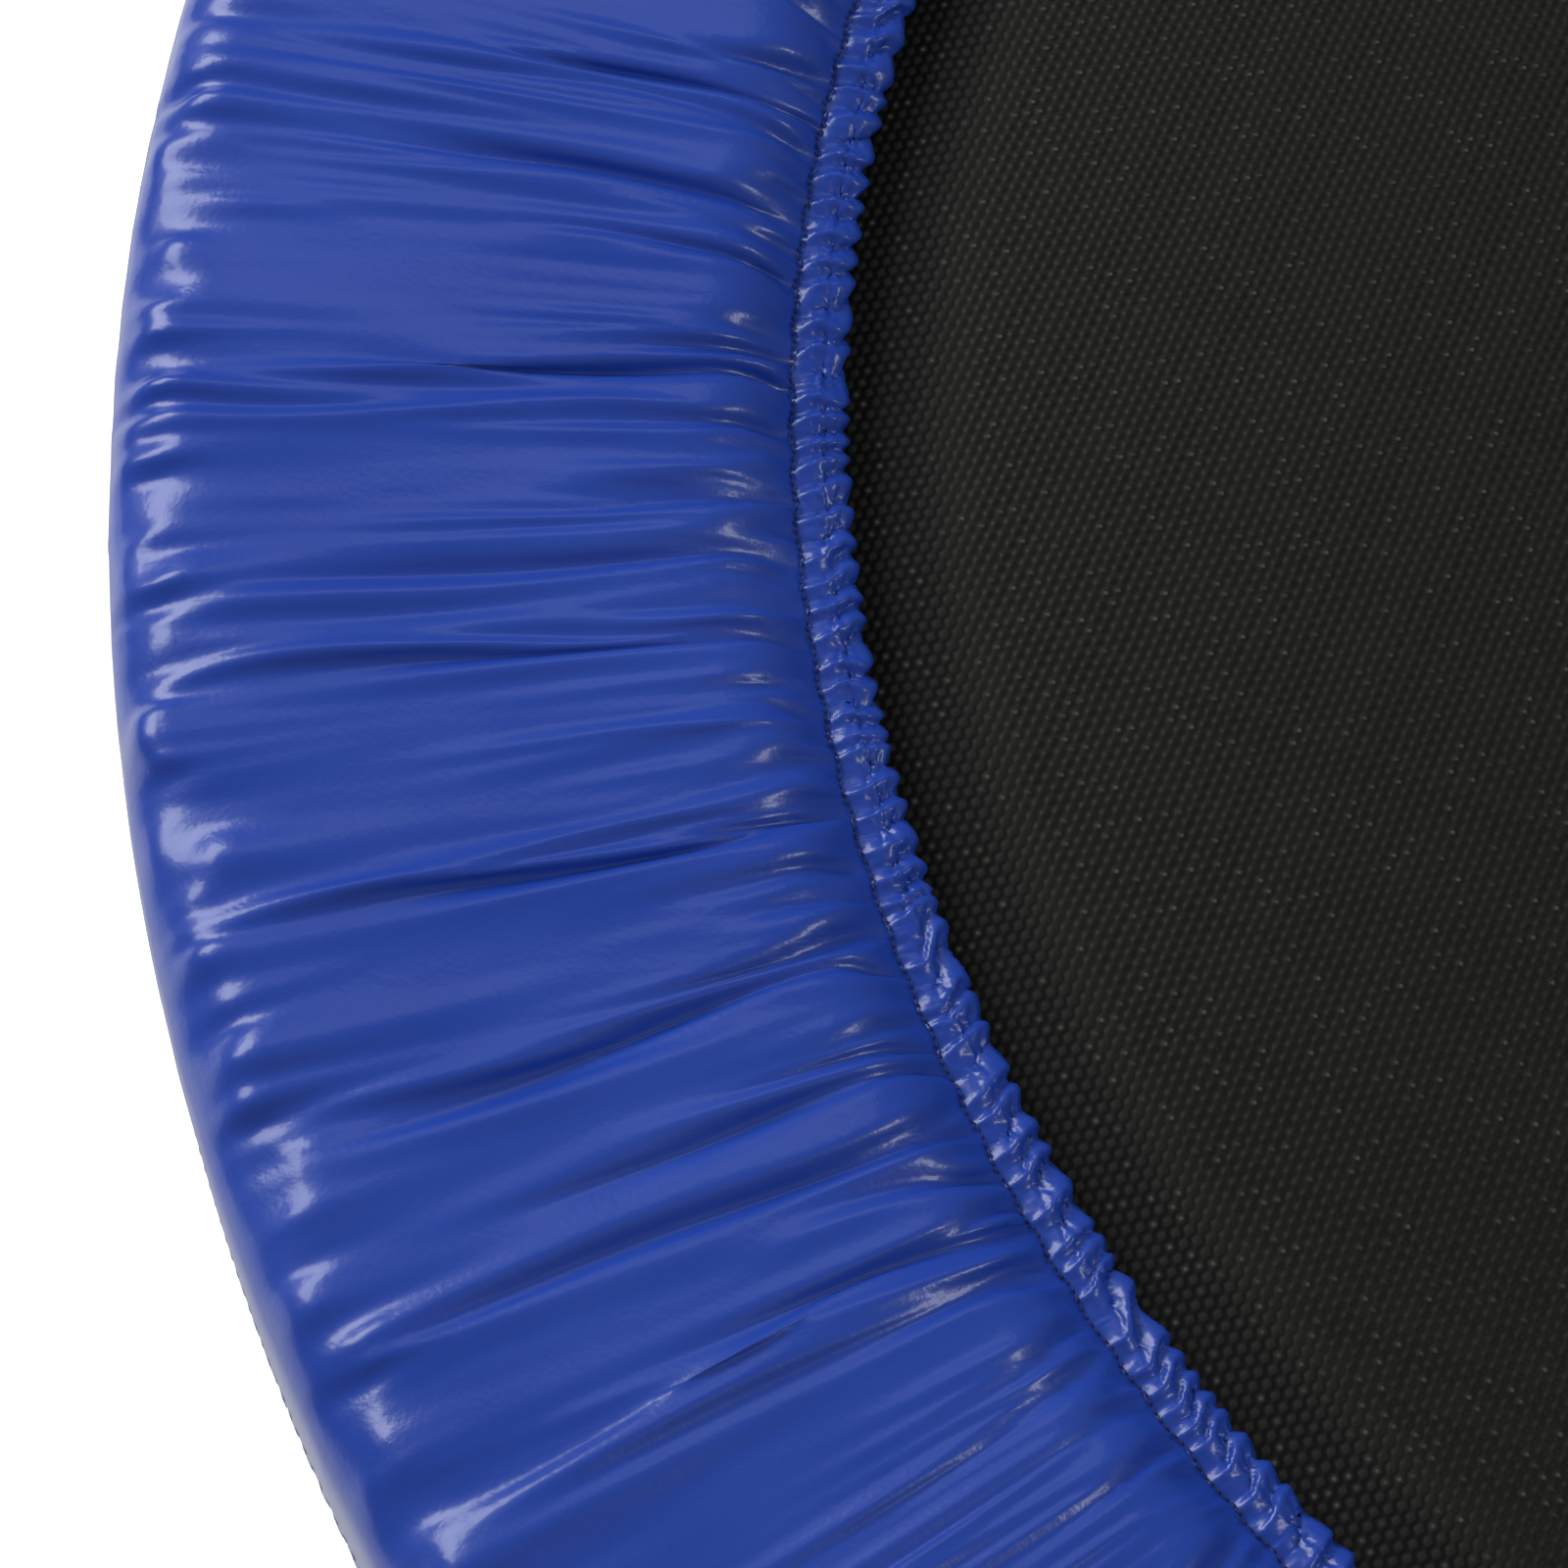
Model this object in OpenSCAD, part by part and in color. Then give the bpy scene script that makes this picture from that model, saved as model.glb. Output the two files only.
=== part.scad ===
// Round mini trampoline, 914 mm across: a steel ring on six screwed-in legs, a woven mat hung
// in it on extension springs, and a gathered spring pad laid over the springs and the ring.
// Millimetres, +Z up, the floor at z = 0 and the ring's axis at x = y = 0.

/* [Ring] */
// Diameter of the ring, measured at its tube's centreline
ring_d = 876; // [800:1:1000]
// Outside diameter of the ring's tube
ring_tube_d = 25; // [22:0.5:30]
// Wall of the ring's tube
ring_wall = 1.5; // [1:0.1:2.5]

/* [Leg sockets] */
// Outside diameter of a welded socket
socket_d = 22; // [18:0.5:24]
// Height of a socket below the ring's tube
socket_h = 20; // [14:0.5:30]
// How far a socket's shoulders wrap up round the ring's tube
socket_wrap = 5; // [2:0.5:6]

/* [Legs] */
// Length of a leg's tube
leg_len = 160; // [100:1:260]
// Outside diameter of a leg's tube
leg_d = 25; // [22:0.5:28]
// Wall of a leg's tube
leg_wall = 1.5; // [1:0.1:2.5]
// Diameter of the screwed stud on top of a leg
stud_d = 10; // [8:0.5:12]
// Thickness of the stud's flange, between tube and socket
flange_t = 4; // [2:0.5:8]
// Length of the stud's plug inside the leg's tube
plug_len = 18; // [10:1:40]
// Wall of the plug, which is hollow below
plug_wall = 3; // [2:0.5:5]

/* [Feet] */
// Diameter of a rubber foot at the floor
foot_d = 34; // [32:0.5:42]
// Rubber round the leg's tube at the foot's mouth
foot_lip = 2.5; // [1.5:0.1:3.5]
// Height of a foot
foot_h = 30; // [20:1:50]
// Rubber under the end of the leg's tube
foot_base = 8; // [4:0.5:15]
// Width of the round groove in a foot's tread
tread_w = 2; // [1:0.5:3]
// Depth of the round groove in a foot's tread
tread_depth = 1.5; // [0.5:0.5:3]

/* [Springs] */
// Number of springs round the ring
spring_count = 36; // [24:2:40]
// Outside diameter of a spring's coil
coil_d = 10.5; // [8:0.5:13]
// Length of a spring's coil
coil_len = 48; // [30:1:70]
// Length of the taper at each end of a coil
coil_taper = 5; // [3:0.5:8]
// Diameter of a spring's wire
wire_d = 2.4; // [1.8:0.1:3]
// Length of straight wire from the coil to the ring's tube
neck_len = 8; // [5:0.5:12]
// Length of straight wire from the coil to its loop
loop_neck = 4.3; // [3:0.1:8]
// How far the wire turns up inside the ring's tube
tip_rise = 5; // [4:0.5:6]
// Diameter of the holes in the ring that the springs hook into
hook_hole_d = 5; // [4.5:0.5:7]

/* [V rings] */
// Diameter of a V ring's wire
vee_wire_d = 3; // [2.5:0.1:4]
// Length of a V ring, between its two bars
vee_len = 18; // [14:0.5:26]
// Length of the bar that the mat's webbing holds
vee_base = 30; // [24:0.5:36]
// Length of the bar that the spring hooks round
vee_top = 7; // [6:0.5:10]

/* [Mat] */
// Thickness of the woven mat
mat_t = 1; // [0.6:0.1:2]
// Thickness of the webbing sewn round the mat
web_t = 1; // [0.6:0.1:2]
// Width of that webbing, on the mat
hem_w = 12; // [8:0.5:25]
// Width of the webbing tab round each V ring's bar
tab_w = 20; // [12:0.5:22]

/* [Spring pad] */
// Thickness of the foam
foam_t = 8; // [5:0.5:15]
// Thickness of the cover
cover_t = 0.8; // [0.5:0.1:1.5]
// Thickness of the cloth under the foam
backing_t = 0.6; // [0.3:0.1:1.5]
// How far the pad reaches in over the mat, from the mat's edge
pad_overlap = 17; // [10:0.5:40]
// How far the pad reaches out past the ring and the legs
pad_overhang = 6.5; // [4:0.5:15]
// Radius of the pad's outer shoulder
shoulder_r = 15; // [13:0.5:20]
// How far the pad's side hangs below the ring's centreline
skirt_drop = 15.5; // [10:0.5:30]
// Number of main folds round the cover
fold_count = 72; // [36:2:72]
// Height of a fold's ridge over its valley
fold_rise = 2.4; // [0.5:0.1:4]
// Angle that a fold leans round the ring on its way in, in degrees
fold_lean = 2; // [0:0.1:3]
// Width of the gathered casing along the pad's inner edge
casing_w = 9.5; // [7:0.5:16]
// Height of that casing
casing_h = 6.4; // [5:0.1:9]
// Number of puckers round the inner casing
pucker_count = 100; // [40:2:100]
// Depth of the casing under the pad's outer edge
hem_depth = 8.5; // [8:0.5:12]
// Width of the casing under the pad's outer edge
hem_width = 6.5; // [6:0.1:8]
// Number of puckers round the outer casing
hem_pucker_count = 80; // [40:2:100]
// Width of the elastic in both casings
elastic_w = 3.2; // [2:0.1:3.4]
// Thickness of the elastic
elastic_t = 0.8; // [0.5:0.1:1]

/* [Hidden] */
$fn = 96;

// Clearances
fit_gap = 0.05;    // round a shaft in its bore
seat_gap = 0.15;   // between the pad and the ring that it lies on
weld_gap = 0.1;    // between a socket and the ring, where the weld bead is
soft_gap = 0.3;    // between cloth, foam or wire and what it lies against
spring_gap = 0.8;  // between the springs and the pad's inner edge
tip_gap = 2;       // between a stud's end and the ring
through = 1;       // how far a cutter runs past what it cuts

// Colours
blue_vinyl = [0.19, 0.28, 0.60];
black_coat = [0.10, 0.10, 0.11];
black_weave = [0.14, 0.14, 0.13];
black_rubber = [0.08, 0.08, 0.08];
zinc = [0.66, 0.67, 0.69];
white_foam = [0.88, 0.88, 0.86];
grey_cloth = [0.30, 0.31, 0.33];
white_elastic = [0.80, 0.80, 0.78];

// Ring and legs, from the floor up
leg_count = 6;
ring_r = ring_d / 2;
tube_r = ring_tube_d / 2;
wire_r = wire_d / 2;
flange_z = foot_base + leg_len;
socket_z = flange_z + flange_t;
ring_z = socket_z + socket_h + tube_r;
stud_len = socket_h - tip_gap;

// Springs, V rings and mat, from the ring inwards
loop_r = vee_wire_d / 2 + soft_gap + wire_r;
coil_out = ring_r - tube_r - neck_len;
coil_in = coil_out - coil_len;
vee_out = coil_in - loop_neck - loop_r;
vee_in = vee_out - vee_len;
tunnel_r = vee_wire_d / 2 + soft_gap;
hem_out = vee_in - tunnel_r;
mat_r = hem_out - soft_gap;
tip_r = ring_r - sqrt((tube_r - ring_wall) ^ 2 - tip_rise ^ 2) + soft_gap + wire_r;

// Spring pad: its underside is a cone that touches the ring's tube and clears the springs
pad_r = ring_r + max(tube_r, leg_d / 2, socket_d / 2) + pad_overhang;
casing_in = mat_r - pad_overlap;
edge_r = casing_in + casing_w;
edge_z = ring_z + coil_d / 2 + spring_gap;
edge_dist = norm([ring_r - edge_r, ring_z - edge_z]);
pad_tilt = atan2(ring_z - edge_z, ring_r - edge_r) + asin((tube_r + seat_gap) / edge_dist);
foam_inset = 2.5;
foam_in = edge_r + foam_inset;
foam_out = pad_r - shoulder_r * 0.4;
bevel_w = 7.5;
bevel_z = 3;

// Shoulder of the pad, as an arc round this centre
shoulder_cr = pad_r - shoulder_r;
shoulder_cz = cover_low(shoulder_cr) + fold_rise / 2 - shoulder_r;
skirt_z = ring_z - skirt_drop;
foam_shoulder_r = shoulder_cr + through;
foam_arc = shoulder_r - cover_t - 2 * soft_gap;
foam_out_z = shoulder_cz + sqrt(foam_arc ^ 2 - (foam_out - shoulder_cr) ^ 2) - fold_rise / 2;

function pad_under(r) = edge_z + (r - edge_r) * tan(pad_tilt);
function foam_under(r) = pad_under(r) + backing_t / cos(pad_tilt);
function foam_over(r) = foam_under(r) + foam_t / cos(pad_tilt);
function cover_low(r) = foam_over(r) + (soft_gap + cover_t) / cos(pad_tilt);

// A smooth value from -1 to 1 that differs from one fold to the next
function wobble(i, turn) = sin(i * turn) * cos(i * turn * 0.37);

// A point at radius r and height z, at an angle round the ring
function around(r, z, angle) = [r * cos(angle), r * sin(angle), z];

module ring_section(radius) {
    translate([ring_r, ring_z])
        circle(r = radius);
}

module each_spring() {
    for (i = [0 : spring_count - 1])
        rotate([0, 0, (i + 0.5) * 360 / spring_count])
            children();
}

module each_leg() {
    for (i = [0 : leg_count - 1])
        at_leg(i)
            children();
}

module at_leg(i) {
    rotate([0, 0, i * 360 / leg_count])
        translate([ring_r, 0, 0])
            children();
}

// A round bar from one radius to another, lying along the ring's radius
module radial_bar(from, to, radius) {
    translate([from, 0, ring_z])
        rotate([0, 90, 0])
            cylinder(r = radius, h = to - from);
}

module frame_ring() {
    color(black_coat)
        difference() {
            rotate_extrude()
                difference() {
                    ring_section(tube_r);
                    ring_section(tube_r - ring_wall);
                }
            each_spring()
                radial_bar(ring_r - tube_r - through, ring_r - tube_r / 2, hook_hole_d / 2);
        }
}

module leg_sockets() {
    color(black_coat)
        difference() {
            each_leg()
                translate([0, 0, socket_z])
                    cylinder(d = socket_d, h = socket_h + socket_wrap);
            rotate_extrude()
                ring_section(tube_r + weld_gap);
            each_leg()
                translate([0, 0, socket_z - through])
                    cylinder(r = stud_d / 2 + fit_gap, h = socket_h + socket_wrap + 2 * through);
        }
}

module leg_tube(i) {
    color(black_coat)
        at_leg(i)
            translate([0, 0, foot_base])
                difference() {
                    cylinder(d = leg_d, h = leg_len);
                    translate([0, 0, -through])
                        cylinder(d = leg_d - 2 * leg_wall, h = leg_len + 2 * through);
                }
}

module leg_stud(i) {
    plug_r = leg_d / 2 - leg_wall - fit_gap;
    stud_chamfer = 1;
    color(zinc)
        at_leg(i)
            translate([0, 0, flange_z])
                rotate_extrude()
                    polygon([
                        [0, flange_t + stud_len],
                        [stud_d / 2 - stud_chamfer, flange_t + stud_len],
                        [stud_d / 2, flange_t + stud_len - stud_chamfer],
                        [stud_d / 2, flange_t],
                        [leg_d / 2, flange_t],
                        [leg_d / 2, 0],
                        [plug_r, 0],
                        [plug_r, -plug_len],
                        [plug_r - plug_wall, -plug_len],
                        [plug_r - plug_wall, -plug_wall],
                        [0, -plug_wall]
                    ]);
}

module leg_foot(i) {
    mouth_r = leg_d / 2 + foot_lip;
    edge = 1.5;
    color(black_rubber)
        at_leg(i)
            difference() {
                rotate_extrude()
                    polygon([
                        [0, 0],
                        [foot_d / 2 - edge, 0],
                        [foot_d / 2, edge],
                        [foot_d / 2, foot_base],
                        [mouth_r, foot_h - edge],
                        [mouth_r - edge, foot_h],
                        [0, foot_h]
                    ]);
                translate([0, 0, foot_base])
                    cylinder(r = leg_d / 2 + fit_gap, h = foot_h);
                rotate_extrude()
                    translate([foot_d / 4, -through])
                        square([tread_w, tread_depth + through]);
            }
}

// One spring: the coil's outer form with its straight wires, the loop at the mat's end round
// the V ring, and the bend at the other end that turns up inside the ring's tube
module spring() {
    bend_r = wire_d;
    loop_from = -25;
    loop_turn = 310;
    translate([0, 0, ring_z])
        rotate([0, 90, 0])
            rotate_extrude()
                polygon([
                    [0, vee_out + loop_r],
                    [wire_r, vee_out + loop_r],
                    [wire_r, coil_in],
                    [coil_d / 2, coil_in + coil_taper],
                    [coil_d / 2, coil_out - coil_taper],
                    [wire_r, coil_out],
                    [wire_r, tip_r - bend_r],
                    [0, tip_r - bend_r]
                ]);
    translate([vee_out, 0, ring_z])
        rotate([90, 0, 0])
            rotate([0, 0, loop_from])
                rotate_extrude(angle = loop_turn)
                    translate([loop_r, 0])
                        circle(r = wire_r);
    translate([tip_r - bend_r, 0, ring_z + bend_r])
        rotate([90, 0, 0])
            rotate([0, 0, -90])
                rotate_extrude(angle = 90)
                    translate([bend_r, 0])
                        circle(r = wire_r);
    translate([tip_r, 0, ring_z + bend_r])
        cylinder(r = wire_r, h = tip_rise - bend_r);
}

module springs() {
    color(zinc)
        each_spring()
            spring();
}

// A bar of wire between two points at the height of the mat
module wire_bar(from, to) {
    run = to - from;
    translate([from.x, from.y, 0])
        rotate([0, 90, atan2(run.y, run.x)])
            cylinder(d = vee_wire_d, h = norm(run));
}

module v_rings() {
    corners = [
        [vee_in, -vee_base / 2],
        [vee_out, -vee_top / 2],
        [vee_out, vee_top / 2],
        [vee_in, vee_base / 2]
    ];
    corner_swell = 1.03;
    color(zinc)
        each_spring()
            translate([0, 0, ring_z])
                for (i = [0 : 3]) {
                    wire_bar(corners[i], corners[(i + 1) % 4]);
                    translate([corners[i].x, corners[i].y, 0])
                        sphere(d = vee_wire_d * corner_swell);
                }
}

module jump_mat() {
    color(black_weave)
        translate([0, 0, ring_z - mat_t / 2])
            cylinder(r = mat_r, h = mat_t, $fn = 180);
}

// Webbing folded over the mat's edge, cut back between the tabs that hold the V rings' bars
module mat_hem() {
    band_in = mat_r - hem_w;
    band_t = mat_t + 2 * web_t;
    spacing = 2 * PI * vee_in / spring_count;
    color(black_coat)
        difference() {
            rotate_extrude()
                translate([0, ring_z])
                    difference() {
                        union() {
                            translate([band_in, -band_t / 2])
                                square([vee_in - band_in, band_t]);
                            translate([vee_in, 0])
                                circle(r = tunnel_r + web_t);
                        }
                        translate([band_in - through, -mat_t / 2])
                            square([vee_in - band_in + through, mat_t]);
                        translate([vee_in, 0])
                            circle(r = tunnel_r);
                    }
            for (i = [0 : spring_count - 1])
                rotate([0, 0, i * 360 / spring_count])
                    translate([hem_out, -(spacing - tab_w) / 2, ring_z - tunnel_r - web_t - through])
                        cube([2 * (tunnel_r + web_t), spacing - tab_w, 2 * (tunnel_r + web_t + through)]);
        }
}

module pad_backing() {
    color(grey_cloth)
        rotate_extrude()
            polygon([
                [foam_in, pad_under(foam_in)],
                [foam_out, pad_under(foam_out)],
                [foam_out, foam_under(foam_out)],
                [foam_in, foam_under(foam_in)]
            ]);
}

module pad_foam() {
    color(white_foam)
        rotate_extrude()
            polygon([
                [foam_in, foam_under(foam_in)],
                [foam_out, foam_under(foam_out)],
                [foam_out, foam_out_z],
                [foam_shoulder_r, foam_over(foam_shoulder_r)],
                [foam_in + bevel_w, foam_over(foam_in + bevel_w)],
                [foam_in, foam_under(foam_in) + bevel_z]
            ]);
}

// The cover is a thin shell. Its outer side has a ridge and a valley for each fold, its inner
// side is smooth and has half as many points.
module pad_cover() {
    steps = 2 * fold_count;
    step_angle = 360 / steps;
    inner_grow = 1 / cos(step_angle);
    rise = [for (i = [0 : steps - 1])
        i % 2 == 0 ? 1 - 0.3 * abs(wobble(i, 47)) : 0.15 * abs(wobble(i, 31))];
    drift = [for (i = [0 : steps - 1]) wobble(i, 83) * step_angle * 0.25];
    function outer_ring(r, z, ridge, lean) = [for (i = [0 : steps - 1])
        around(r, z + ridge * rise[i], i * step_angle + lean * (fold_lean + drift[i]))];
    function inner_ring(r, z) = [for (i = [0 : fold_count - 1])
        around(r * inner_grow, z, 2 * i * step_angle)];
    over = soft_gap / cos(pad_tilt);
    top_in = foam_in + bevel_w;
    turn_r = shoulder_r * sin(45);
    points = concat(
        outer_ring(edge_r, edge_z + casing_h / 2 + cover_t, fold_rise * 0.4, 1),
        outer_ring(top_in - 1, cover_low(top_in - 1) + soft_gap, fold_rise, 0.9),
        outer_ring(shoulder_cr, cover_low(shoulder_cr), fold_rise, 0.1),
        outer_ring(shoulder_cr + turn_r, shoulder_cz + turn_r, fold_rise * 0.1, 0),
        outer_ring(pad_r, shoulder_cz, 0, 0),
        outer_ring(pad_r, skirt_z, 0, 0),
        inner_ring(edge_r, edge_z + casing_h / 2 - cover_t),
        inner_ring(top_in, foam_over(top_in) + over),
        inner_ring(foam_shoulder_r, foam_over(foam_shoulder_r) + over),
        inner_ring(foam_out + soft_gap, foam_out_z + soft_gap),
        inner_ring((pad_r - cover_t) / inner_grow, skirt_z)
    );
    function outer(j, i) = j * steps + i % steps;
    function inner(j, i) = 6 * steps + j * fold_count + i % fold_count;
    outer_faces = [for (j = [0 : 4], i = [0 : steps - 1]) each [
        [outer(j, i), outer(j, i + 1), outer(j + 1, i)],
        [outer(j, i + 1), outer(j + 1, i + 1), outer(j + 1, i)]
    ]];
    inner_faces = [for (j = [0 : 3], i = [0 : fold_count - 1]) each [
        [inner(j, i), inner(j + 1, i), inner(j, i + 1)],
        [inner(j, i + 1), inner(j + 1, i), inner(j + 1, i + 1)]
    ]];
    function rim(a, b, i) = [
        [outer(a, 2 * i), inner(b, i), outer(a, 2 * i + 1)],
        [outer(a, 2 * i + 1), inner(b, i), inner(b, i + 1)],
        [outer(a, 2 * i + 1), inner(b, i + 1), outer(a, 2 * i + 2)]
    ];
    edge_faces = [for (i = [0 : fold_count - 1]) each rim(0, 0, i)];
    skirt_faces = [for (i = [0 : fold_count - 1], f = rim(5, 4, i)) [f[0], f[2], f[1]]];
    color(blue_vinyl)
        polyhedron(concat(points), concat(outer_faces, inner_faces, edge_faces, skirt_faces));
}

// A puckered casing, V-shaped in section, with its open side towards the cover's edge.
// across is half its width at the open side, and deep its depth to the fold.
module casing(puckers, across, deep, upright, at_r, at_z) {
    steps = 2 * puckers;
    wave = [for (i = [0 : steps - 1]) (i % 2 == 0 ? 1 : -1) * (0.7 + 0.3 * wobble(i, 59))];
    sway = 0.45;
    tilt = 0.12;
    function section(w) = [
        [0, across + tilt * w],
        [deep - sway + sway * w, sway * w],
        [0, -across + tilt * w],
        [0, -across + cover_t + tilt * w],
        [deep - 2 * cover_t - sway + sway * w, sway * w / 2],
        [0, across - cover_t + tilt * w]
    ];
    function placed(p, angle) = upright
        ? around(at_r - p[1], at_z - p[0], angle)
        : around(at_r - p[0], at_z + p[1], angle);
    points = [for (i = [0 : steps - 1], p = section(wave[i])) placed(p, i * 360 / steps)];
    function at(i, j) = (i % steps) * 6 + j % 6;
    faces = [for (i = [0 : steps - 1], j = [0 : 5]) each [
        [at(i, j), at(i + 1, j), at(i, j + 1)],
        [at(i, j + 1), at(i + 1, j), at(i + 1, j + 1)]
    ]];
    color(blue_vinyl)
        polyhedron(points, faces);
}

module inner_casing() {
    casing(pucker_count, casing_h / 2, casing_w - soft_gap, false, edge_r - soft_gap, edge_z);
}

module outer_casing() {
    casing(hem_pucker_count, hem_width / 2, hem_depth, true, pad_r - hem_width / 2,
        skirt_z - soft_gap);
}

module inner_elastic() {
    color(white_elastic)
        rotate_extrude($fn = 192)
            translate([edge_r - 2 * soft_gap - elastic_w, edge_z - elastic_t / 2])
                square([elastic_w, elastic_t]);
}

module outer_elastic() {
    color(white_elastic)
        rotate_extrude($fn = 192)
            translate([pad_r - hem_width / 2 - elastic_t / 2, skirt_z - 2 * soft_gap - elastic_w])
                square([elastic_t, elastic_w]);
}

frame_ring();
leg_sockets();
springs();
jump_mat();
mat_hem();
v_rings();
pad_foam();
pad_backing();
pad_cover();
inner_casing();
inner_elastic();
outer_casing();
outer_elastic();
leg_tube(0);  // leg_1_tube
leg_stud(0);  // leg_1_stud
leg_foot(0);  // leg_1_foot
leg_tube(1);  // leg_2_tube
leg_stud(1);  // leg_2_stud
leg_foot(1);  // leg_2_foot
leg_tube(2);  // leg_3_tube
leg_stud(2);  // leg_3_stud
leg_foot(2);  // leg_3_foot
leg_tube(3);  // leg_4_tube
leg_stud(3);  // leg_4_stud
leg_foot(3);  // leg_4_foot
leg_tube(4);  // leg_5_tube
leg_stud(4);  // leg_5_stud
leg_foot(4);  // leg_5_foot
leg_tube(5);  // leg_6_tube
leg_stud(5);  // leg_6_stud
leg_foot(5);  // leg_6_foot
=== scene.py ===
import math
import bpy
import numpy as np
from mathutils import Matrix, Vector


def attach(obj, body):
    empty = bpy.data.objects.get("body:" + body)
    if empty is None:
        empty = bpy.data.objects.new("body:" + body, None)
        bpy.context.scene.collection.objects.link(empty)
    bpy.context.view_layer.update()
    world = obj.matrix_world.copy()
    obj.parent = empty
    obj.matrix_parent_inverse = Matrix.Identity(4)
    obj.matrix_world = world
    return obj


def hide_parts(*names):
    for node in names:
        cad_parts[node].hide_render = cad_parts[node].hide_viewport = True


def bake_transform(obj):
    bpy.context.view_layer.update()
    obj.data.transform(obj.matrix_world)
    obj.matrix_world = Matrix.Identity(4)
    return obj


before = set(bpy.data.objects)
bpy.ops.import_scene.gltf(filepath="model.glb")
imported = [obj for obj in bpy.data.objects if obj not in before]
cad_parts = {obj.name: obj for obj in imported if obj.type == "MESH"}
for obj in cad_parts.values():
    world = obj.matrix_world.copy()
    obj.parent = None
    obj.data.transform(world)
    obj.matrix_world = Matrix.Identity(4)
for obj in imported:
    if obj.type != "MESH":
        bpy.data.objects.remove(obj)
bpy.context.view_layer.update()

rng = np.random.default_rng(36)
tau = 2 * math.pi
print("frame loaded:", len(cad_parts), "nodes")

# sizes that the frame is built to, in metres
ring = {"radius": 0.438, "tube": 0.0125, "height": 0.2045, "springs": 36, "legs": 6}
legAngles = [math.radians(360 / ring["legs"] * i) for i in range(ring["legs"])]
springAngles = (np.arange(ring["springs"]) + 0.5) * tau / ring["springs"]


def linear(red, green, blue):
    # screen values of 0 to 255 as linear light
    out = []
    for value in (red, green, blue):
        value /= 255
        out.append(value / 12.92 if value <= 0.04045 else ((value + 0.055) / 1.055) ** 2.4)
    return (*out, 1.0)


def feed(tree, socket, value):
    # a socket takes a link or a plain value
    if isinstance(value, bpy.types.NodeSocket):
        tree.links.new(value, socket)
    else:
        socket.default_value = value


def addNode(tree, kind, inputs=None, **settings):
    node = tree.nodes.new(kind)
    for key, value in settings.items():
        setattr(node, key, value)
    for key, value in (inputs or {}).items():
        feed(tree, node.inputs[key], value)
    return node


def maths(tree, operation, a, b=None, c=None):
    inputs = {i: v for i, v in enumerate((a, b, c)) if v is not None}
    return addNode(tree, "ShaderNodeMath", inputs, operation=operation).outputs[0]


def spread(tree, value, low, high, toLow=0.0, toHigh=1.0):
    inputs = {"Value": value, "From Min": low, "From Max": high, "To Min": toLow, "To Max": toHigh}
    return addNode(tree, "ShaderNodeMapRange", inputs).outputs["Result"]


def mixColours(tree, factor, a, b):
    return addNode(tree, "ShaderNodeMix", {0: factor, 6: a, 7: b}, data_type="RGBA").outputs[2]


def noise(tree, place, scale, detail):
    inputs = {"Vector": place, "Scale": scale, "Detail": detail}
    return addNode(tree, "ShaderNodeTexNoise", inputs).outputs["Fac"]


def newGroup(name, inputs, outputs):
    tree = bpy.data.node_groups.new(name, "ShaderNodeTree")
    for title, kind, value in inputs:
        socket = tree.interface.new_socket(name=title, in_out="INPUT", socket_type="NodeSocket" + kind)
        if value is not None:
            socket.default_value = value
    for title in outputs:
        tree.interface.new_socket(name=title, in_out="OUTPUT", socket_type="NodeSocketFloat")
    return tree, tree.nodes.new("NodeGroupInput").outputs, tree.nodes.new("NodeGroupOutput").inputs


def useGroup(tree, group, inputs):
    node = tree.nodes.new("ShaderNodeGroup")
    node.node_tree = group
    for key, value in inputs.items():
        feed(tree, node.inputs[key], value)
    return node.outputs


grainShape = {"patchDetail": 2.0, "patches": (0.3, 0.7), "specks": (0.68, 0.74)}


def makeGrainGroup():
    # fine unevenness of a moulded, coated or rubbed surface, with broad soft patches
    inputs = [("Vector", "Vector", None), ("Scale", "Float", 800.0), ("Detail", "Float", 3.0),
        ("Patch Scale", "Float", 30.0)]
    tree, given, result = newGroup("surfaceGrain", inputs, ["Height", "Patches", "Specks"])
    fine = noise(tree, given["Vector"], given["Scale"], given["Detail"])
    broad = noise(tree, given["Vector"], given["Patch Scale"], grainShape["patchDetail"])
    tree.links.new(fine, result["Height"])
    tree.links.new(spread(tree, broad, *grainShape["patches"]), result["Patches"])
    tree.links.new(spread(tree, fine, *grainShape["specks"]), result["Specks"])
    return tree


# heights are shares of the thread's own; one set of threads stands higher, so that the bumps are staggered
weaveShape = {"wander": 55.0, "shift": 0.5, "middle": 0.235, "crossing": 0.32, "warp": 0.43, "weft": 0.10,
    "gap": (0.24, 0.02)}


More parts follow.
